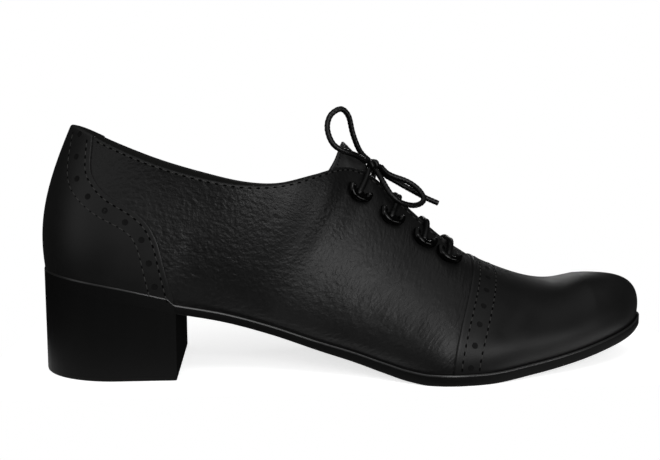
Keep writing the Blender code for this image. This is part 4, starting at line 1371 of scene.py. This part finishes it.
def counter_line(shift, count=80):
    """Return the points and normals of a line on the counter, shift behind its edge.

    The rows spread towards the top, where the counter turns round the back of the shoe.
    """
    lines = []
    heights = np.linspace(0.015, 1.12, count)
    for side in (-1, 1):
        spread = (COUNTER_SPREAD * (shift - COUNTER_ROWS[0])
                  * smooth_step(heights, 0.55, 0.85))
        places, settled = shifted_path(on_side(counter_edge(heights), side), heights,
                                       (shift + spread) * -side, side)
        kept = settled < 0.975
        places, settled = places[kept], settled[kept]
        lines.append((upper_point(places, settled, RAISED), upper_normal(places, settled)))
    return lines


def vamp_line(shift, count=60):
    """Return the points and normals of a line across the vamp, shift before its edge."""
    lines = []
    heights = np.linspace(0.015, 0.985, count)
    for side in (-1, 1):
        places, settled = shifted_path(np.full(count, on_side(THROAT, side), float), heights,
                                       shift * side, side)
        lines.append((upper_point(places, settled, RAISED), upper_normal(places, settled)))
    outer, inner = lines
    return [(np.vstack((outer[0], inner[0][::-1])), np.vstack((outer[1], inner[1][::-1])))]


def top_line():
    """Return the points and normals of the row of stitches under the top edge."""
    sections = np.linspace(THROAT + 0.2, counter_edge(0.975) - 0.12, 200)
    heights = top_row(sections)
    return [(upper_point(places, heights), upper_normal(places, heights))
            for places in (sections, on_side(sections, 1))]


def tongue_line():
    """Return the points and normals of the row of stitches inside the tongue's free edge.

    It follows the sheet's points up one side, across under the tip and down the other side.
    """
    sheet = tongue_sheet(SHEET_SKIN)
    lift = sheet - tongue_sheet(SHEET_SKIN + 1)
    rows = np.arange(*TONGUE_ROW_SPAN)
    first, last = TONGUE_ROW_SIDES
    path, ways = [np.vstack((grid[rows, first], grid[rows[-1], first:last + 1],
                             grid[rows[::-1], last])) for grid in (sheet, lift)]
    return [(path, unit(ways))]


def make_stitches():
    """Make every row of stitches: threads that dip into a dark needle hole at each end.

    Threads are copied halfway between the holes, which stand at even steps along the row.
    """
    sizes = bpy.context.scene.shoe_sizes
    rows = {"top_stitches": top_line(), "tongue_stitches": tongue_line(),
            "counter_edge_stitches": counter_line(COUNTER_ROWS[0]),
            "counter_back_stitches": counter_line(COUNTER_ROWS[1]),
            "vamp_stitches": vamp_line(VAMP_ROWS[0]) + vamp_line(VAMP_ROWS[1])}
    thread = capsule(sizes.stitch_pitch * THREAD_SHARE, sizes.thread)
    hole = disc((1.0, 1.0), (0.05, -0.12), 10)
    for name, lines in rows.items():
        hole_size = np.array(THREAD_ROW_HOLE if name == "counter_back_stitches" else ROW_HOLE)
        for key, finish, (template, faces), lift in (
                ("thread", "thread", thread, THREAD_LIFT),
                ("holes", "hole", (hole[0] * hole_size, hole[1]), 0.0)):
            centres, forwards, normals = [], [], []
            for points, ways in lines:
                wanted = resample(points, sizes.stitch_pitch, ROW_MARGIN, ROW_MARGIN)
                if key == "thread":
                    wanted = (wanted[1:] + wanted[:-1]) / 2
                normal = unit(at(ways, wanted))
                forward = at(np.gradient(points, axis=0), wanted)
                forwards.append(unit(forward - normal * (forward * normal).sum(-1, keepdims=True)))
                centres.append(at(points, wanted) + normal * lift)
                normals.append(normal)
            add_piece(f"{name}_{key}", *copies(template, faces, *[
                np.vstack(part) for part in (centres, forwards, normals)]), [finish], "leather")


def make_punches():
    """Make the punches between the rows of stitches, and the lace's holes, as dishes whose dark
    colour is painted shade in and round the holes.

    A dish is a few flat rings, copied to even steps along its row or to each lace hole.
    """
    radius = bpy.context.scene.shoe_sizes.punch / 2
    centres, normals = [], []
    rows = [(line, COUNTER_PITCH) for line in counter_line(COUNTER_PUNCHES)]
    rows += [(line, VAMP_PITCH) for line in vamp_line(VAMP_PUNCHES)]
    for (points, ways), pitch in rows:
        numbers = resample(points, *pitch)
        centres.append(at(points, numbers))
        normals.append(unit(at(ways, numbers)))
    holes = np.array([(on_side(section, side), height - 0.012)
                      for section, height, _ in LACE_HOLES for side in (-1, 1)]).T
    dish = disc(np.array(PUNCH_RADII) * radius, PUNCH_LIFTS, 20)
    # The lace hole's oval is painted shade: the hole and the ring's shadow round the lace's foot.
    oval = disc((0.95, 1.0, 1.0), (0.24, 0.2, -0.6), 24)
    for name, (template, faces), scale, places, ways, finish in (
            ("punches", dish, 1.0, np.vstack(centres), np.vstack(normals), "punch"),
            ("lace_hole_shade", oval, LACE_HOLE_SHADE, upper_point(*holes), upper_normal(*holes), "hole")):
        forward = unit(np.cross(ways, (0.0, 0.2, 1.0)))
        points, quads = copies(template * scale, faces, places, forward, ways)
        add_piece(name, points, quads, [finish], "leather")


def aim(thing, place):
    """Put a light at a place, in metres, and turn it to look at the shoe."""
    thing.location = place
    way = Vector(LIGHT_TARGET) - Vector(place)
    thing.rotation_euler = way.to_track_quat("-Z", "Y").to_euler()


def add_light(name, place, size, power):
    """Add one soft rectangular light."""
    light = bpy.data.lights.new(name, "AREA")
    light.shape = "RECTANGLE"
    light.size, light.size_y = size
    light.energy = power
    thing = bpy.data.objects.new(name, light)
    bpy.context.collection.objects.link(thing)
    aim(thing, place)


def make_stage():
    """Make the white floor, the soft lights, the pale surroundings and the camera."""
    mesh = bpy.data.meshes.new("studio_floor")
    back, front, near, far = FLOOR_SIDES
    corners = [(back, near, -0.0001), (front, near, -0.0001), (front, far, -0.0001),
               (back, far, -0.0001)]
    mesh.from_pydata(corners, [], [(0, 1, 2, 3)])
    floor = bpy.data.objects.new("studio_floor", mesh)
    bpy.context.collection.objects.link(floor)
    look, _, shader = new_look("backlit_white_floor")
    set_shader(shader, Base_Color=linear("#f4f4f4"), Roughness=0.9, Specular_IOR_Level=0.0,
               Emission_Color=linear("#ffffff"), Emission_Strength=FLOOR_GLOW)
    mesh.materials.append(look)

    surroundings = bpy.data.worlds.new("pale_studio")
    bpy.context.scene.world = surroundings
    surroundings.use_nodes = True
    tree = surroundings.node_tree
    dim = tree.nodes["Background"]
    dim.inputs["Color"].default_value = linear("#ffffff")
    dim.inputs["Strength"].default_value = DIM_STUDIO
    bright = add_node(tree, "ShaderNodeBackground", {"Color": linear("#ffffff"), "Strength": 1.0})
    rays = add_node(tree, "ShaderNodeLightPath")
    blend = add_node(tree, "ShaderNodeMixShader", None,
                     {0: rays.outputs["Is Camera Ray"], 1: dim.outputs[0], 2: bright.outputs[0]})
    tree.links.new(blend.outputs[0], tree.nodes["World Output"].inputs["Surface"])

    sky = bpy.data.lights.new("overhead_silk", "SUN")
    sky.energy = OVERHEAD_POWER
    sky.angle = math.radians(OVERHEAD_SPREAD)
    silk = bpy.data.objects.new("overhead_silk", sky)
    bpy.context.collection.objects.link(silk)
    aim(silk, OVERHEAD_PLACE)
    for name, place, size, power in SOFTBOXES:
        add_light(name, place, size, power)

    camera = bpy.data.cameras.new("camera")
    camera.lens = CAMERA_LENS
    camera.sensor_width = 36.0
    eye = bpy.data.objects.new("camera", camera)
    eye.location = world(CAMERA_PLACE).tolist()
    eye.rotation_euler = (math.radians(90 - CAMERA_PITCH), 0, math.radians(-CAMERA_YAW))
    bpy.context.collection.objects.link(eye)
    bpy.context.scene.camera = eye
    bpy.context.scene.view_settings.view_transform = "Standard"


class MakeUpper(bpy.types.Operator):
    """Make the upper and the tongue"""

    bl_idname = "shoe.make_upper"
    bl_label = "Upper and tongue"

    def execute(self, context):
        make_upper()
        make_tongue()
        return {"FINISHED"}


class MakeBottom(bpy.types.Operator):
    """Make the outsole, the heel block and the insole"""

    bl_idname = "shoe.make_bottom"
    bl_label = "Sole, heel and insole"

    def execute(self, context):
        make_outsole()
        make_heel()
        make_insole()
        return {"FINISHED"}


class MakeLacing(bpy.types.Operator):
    """Make the lace rings, the bars of lace and the bow"""

    bl_idname = "shoe.make_lacing"
    bl_label = "Rings, lace and bow"

    def execute(self, context):
        make_rings()
        make_lace_bars()
        make_bow()
        return {"FINISHED"}


class MakeTrim(bpy.types.Operator):
    """Make the stitches, the punches and the lace holes"""

    bl_idname = "shoe.make_trim"
    bl_label = "Stitches and punches"

    def execute(self, context):
        make_stitches()
        make_punches()
        return {"FINISHED"}


class MakeStage(bpy.types.Operator):
    """Make the floor, the lights and the camera"""

    bl_idname = "shoe.make_stage"
    bl_label = "Stage"

    def execute(self, context):
        make_stage()
        return {"FINISHED"}


class ShoePanel(bpy.types.Panel):
    """Lists the shoe's sizes, colours and pieces"""

    bl_idname = "VIEW3D_PT_shoe"
    bl_label = "Heeled oxford shoe"
    bl_space_type = "VIEW_3D"
    bl_region_type = "UI"
    bl_category = "Shoe"

    def draw(self, context):
        for group in (context.scene.shoe_sizes, context.scene.shoe_colours):
            for label in group.bl_rna.properties.keys():
                if label not in ("rna_type", "name"):
                    self.layout.prop(group, label)
        for operator in OPERATORS:
            self.layout.operator(operator.bl_idname)


OPERATORS = (MakeStage, MakeLacing, MakeUpper, MakeBottom, MakeTrim)
CLASSES = (ShoeSizes, ShoeColours) + OPERATORS + (ShoePanel,)


def register():
    """Register the classes and hang their settings on the scene."""
    for kind in CLASSES:
        bpy.utils.register_class(kind)
    bpy.types.Scene.shoe_sizes = bpy.props.PointerProperty(type=ShoeSizes)
    bpy.types.Scene.shoe_colours = bpy.props.PointerProperty(type=ShoeColours)


def unregister():
    """Take the settings and the classes away again."""
    del bpy.types.Scene.shoe_colours
    del bpy.types.Scene.shoe_sizes
    for kind in reversed(CLASSES):
        bpy.utils.unregister_class(kind)


def main():
    """Register the add-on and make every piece."""
    register()
    for operator in OPERATORS:
        area, action = operator.bl_idname.split(".")
        getattr(getattr(bpy.ops, area), action)()


if __name__ == "__main__":
    main()
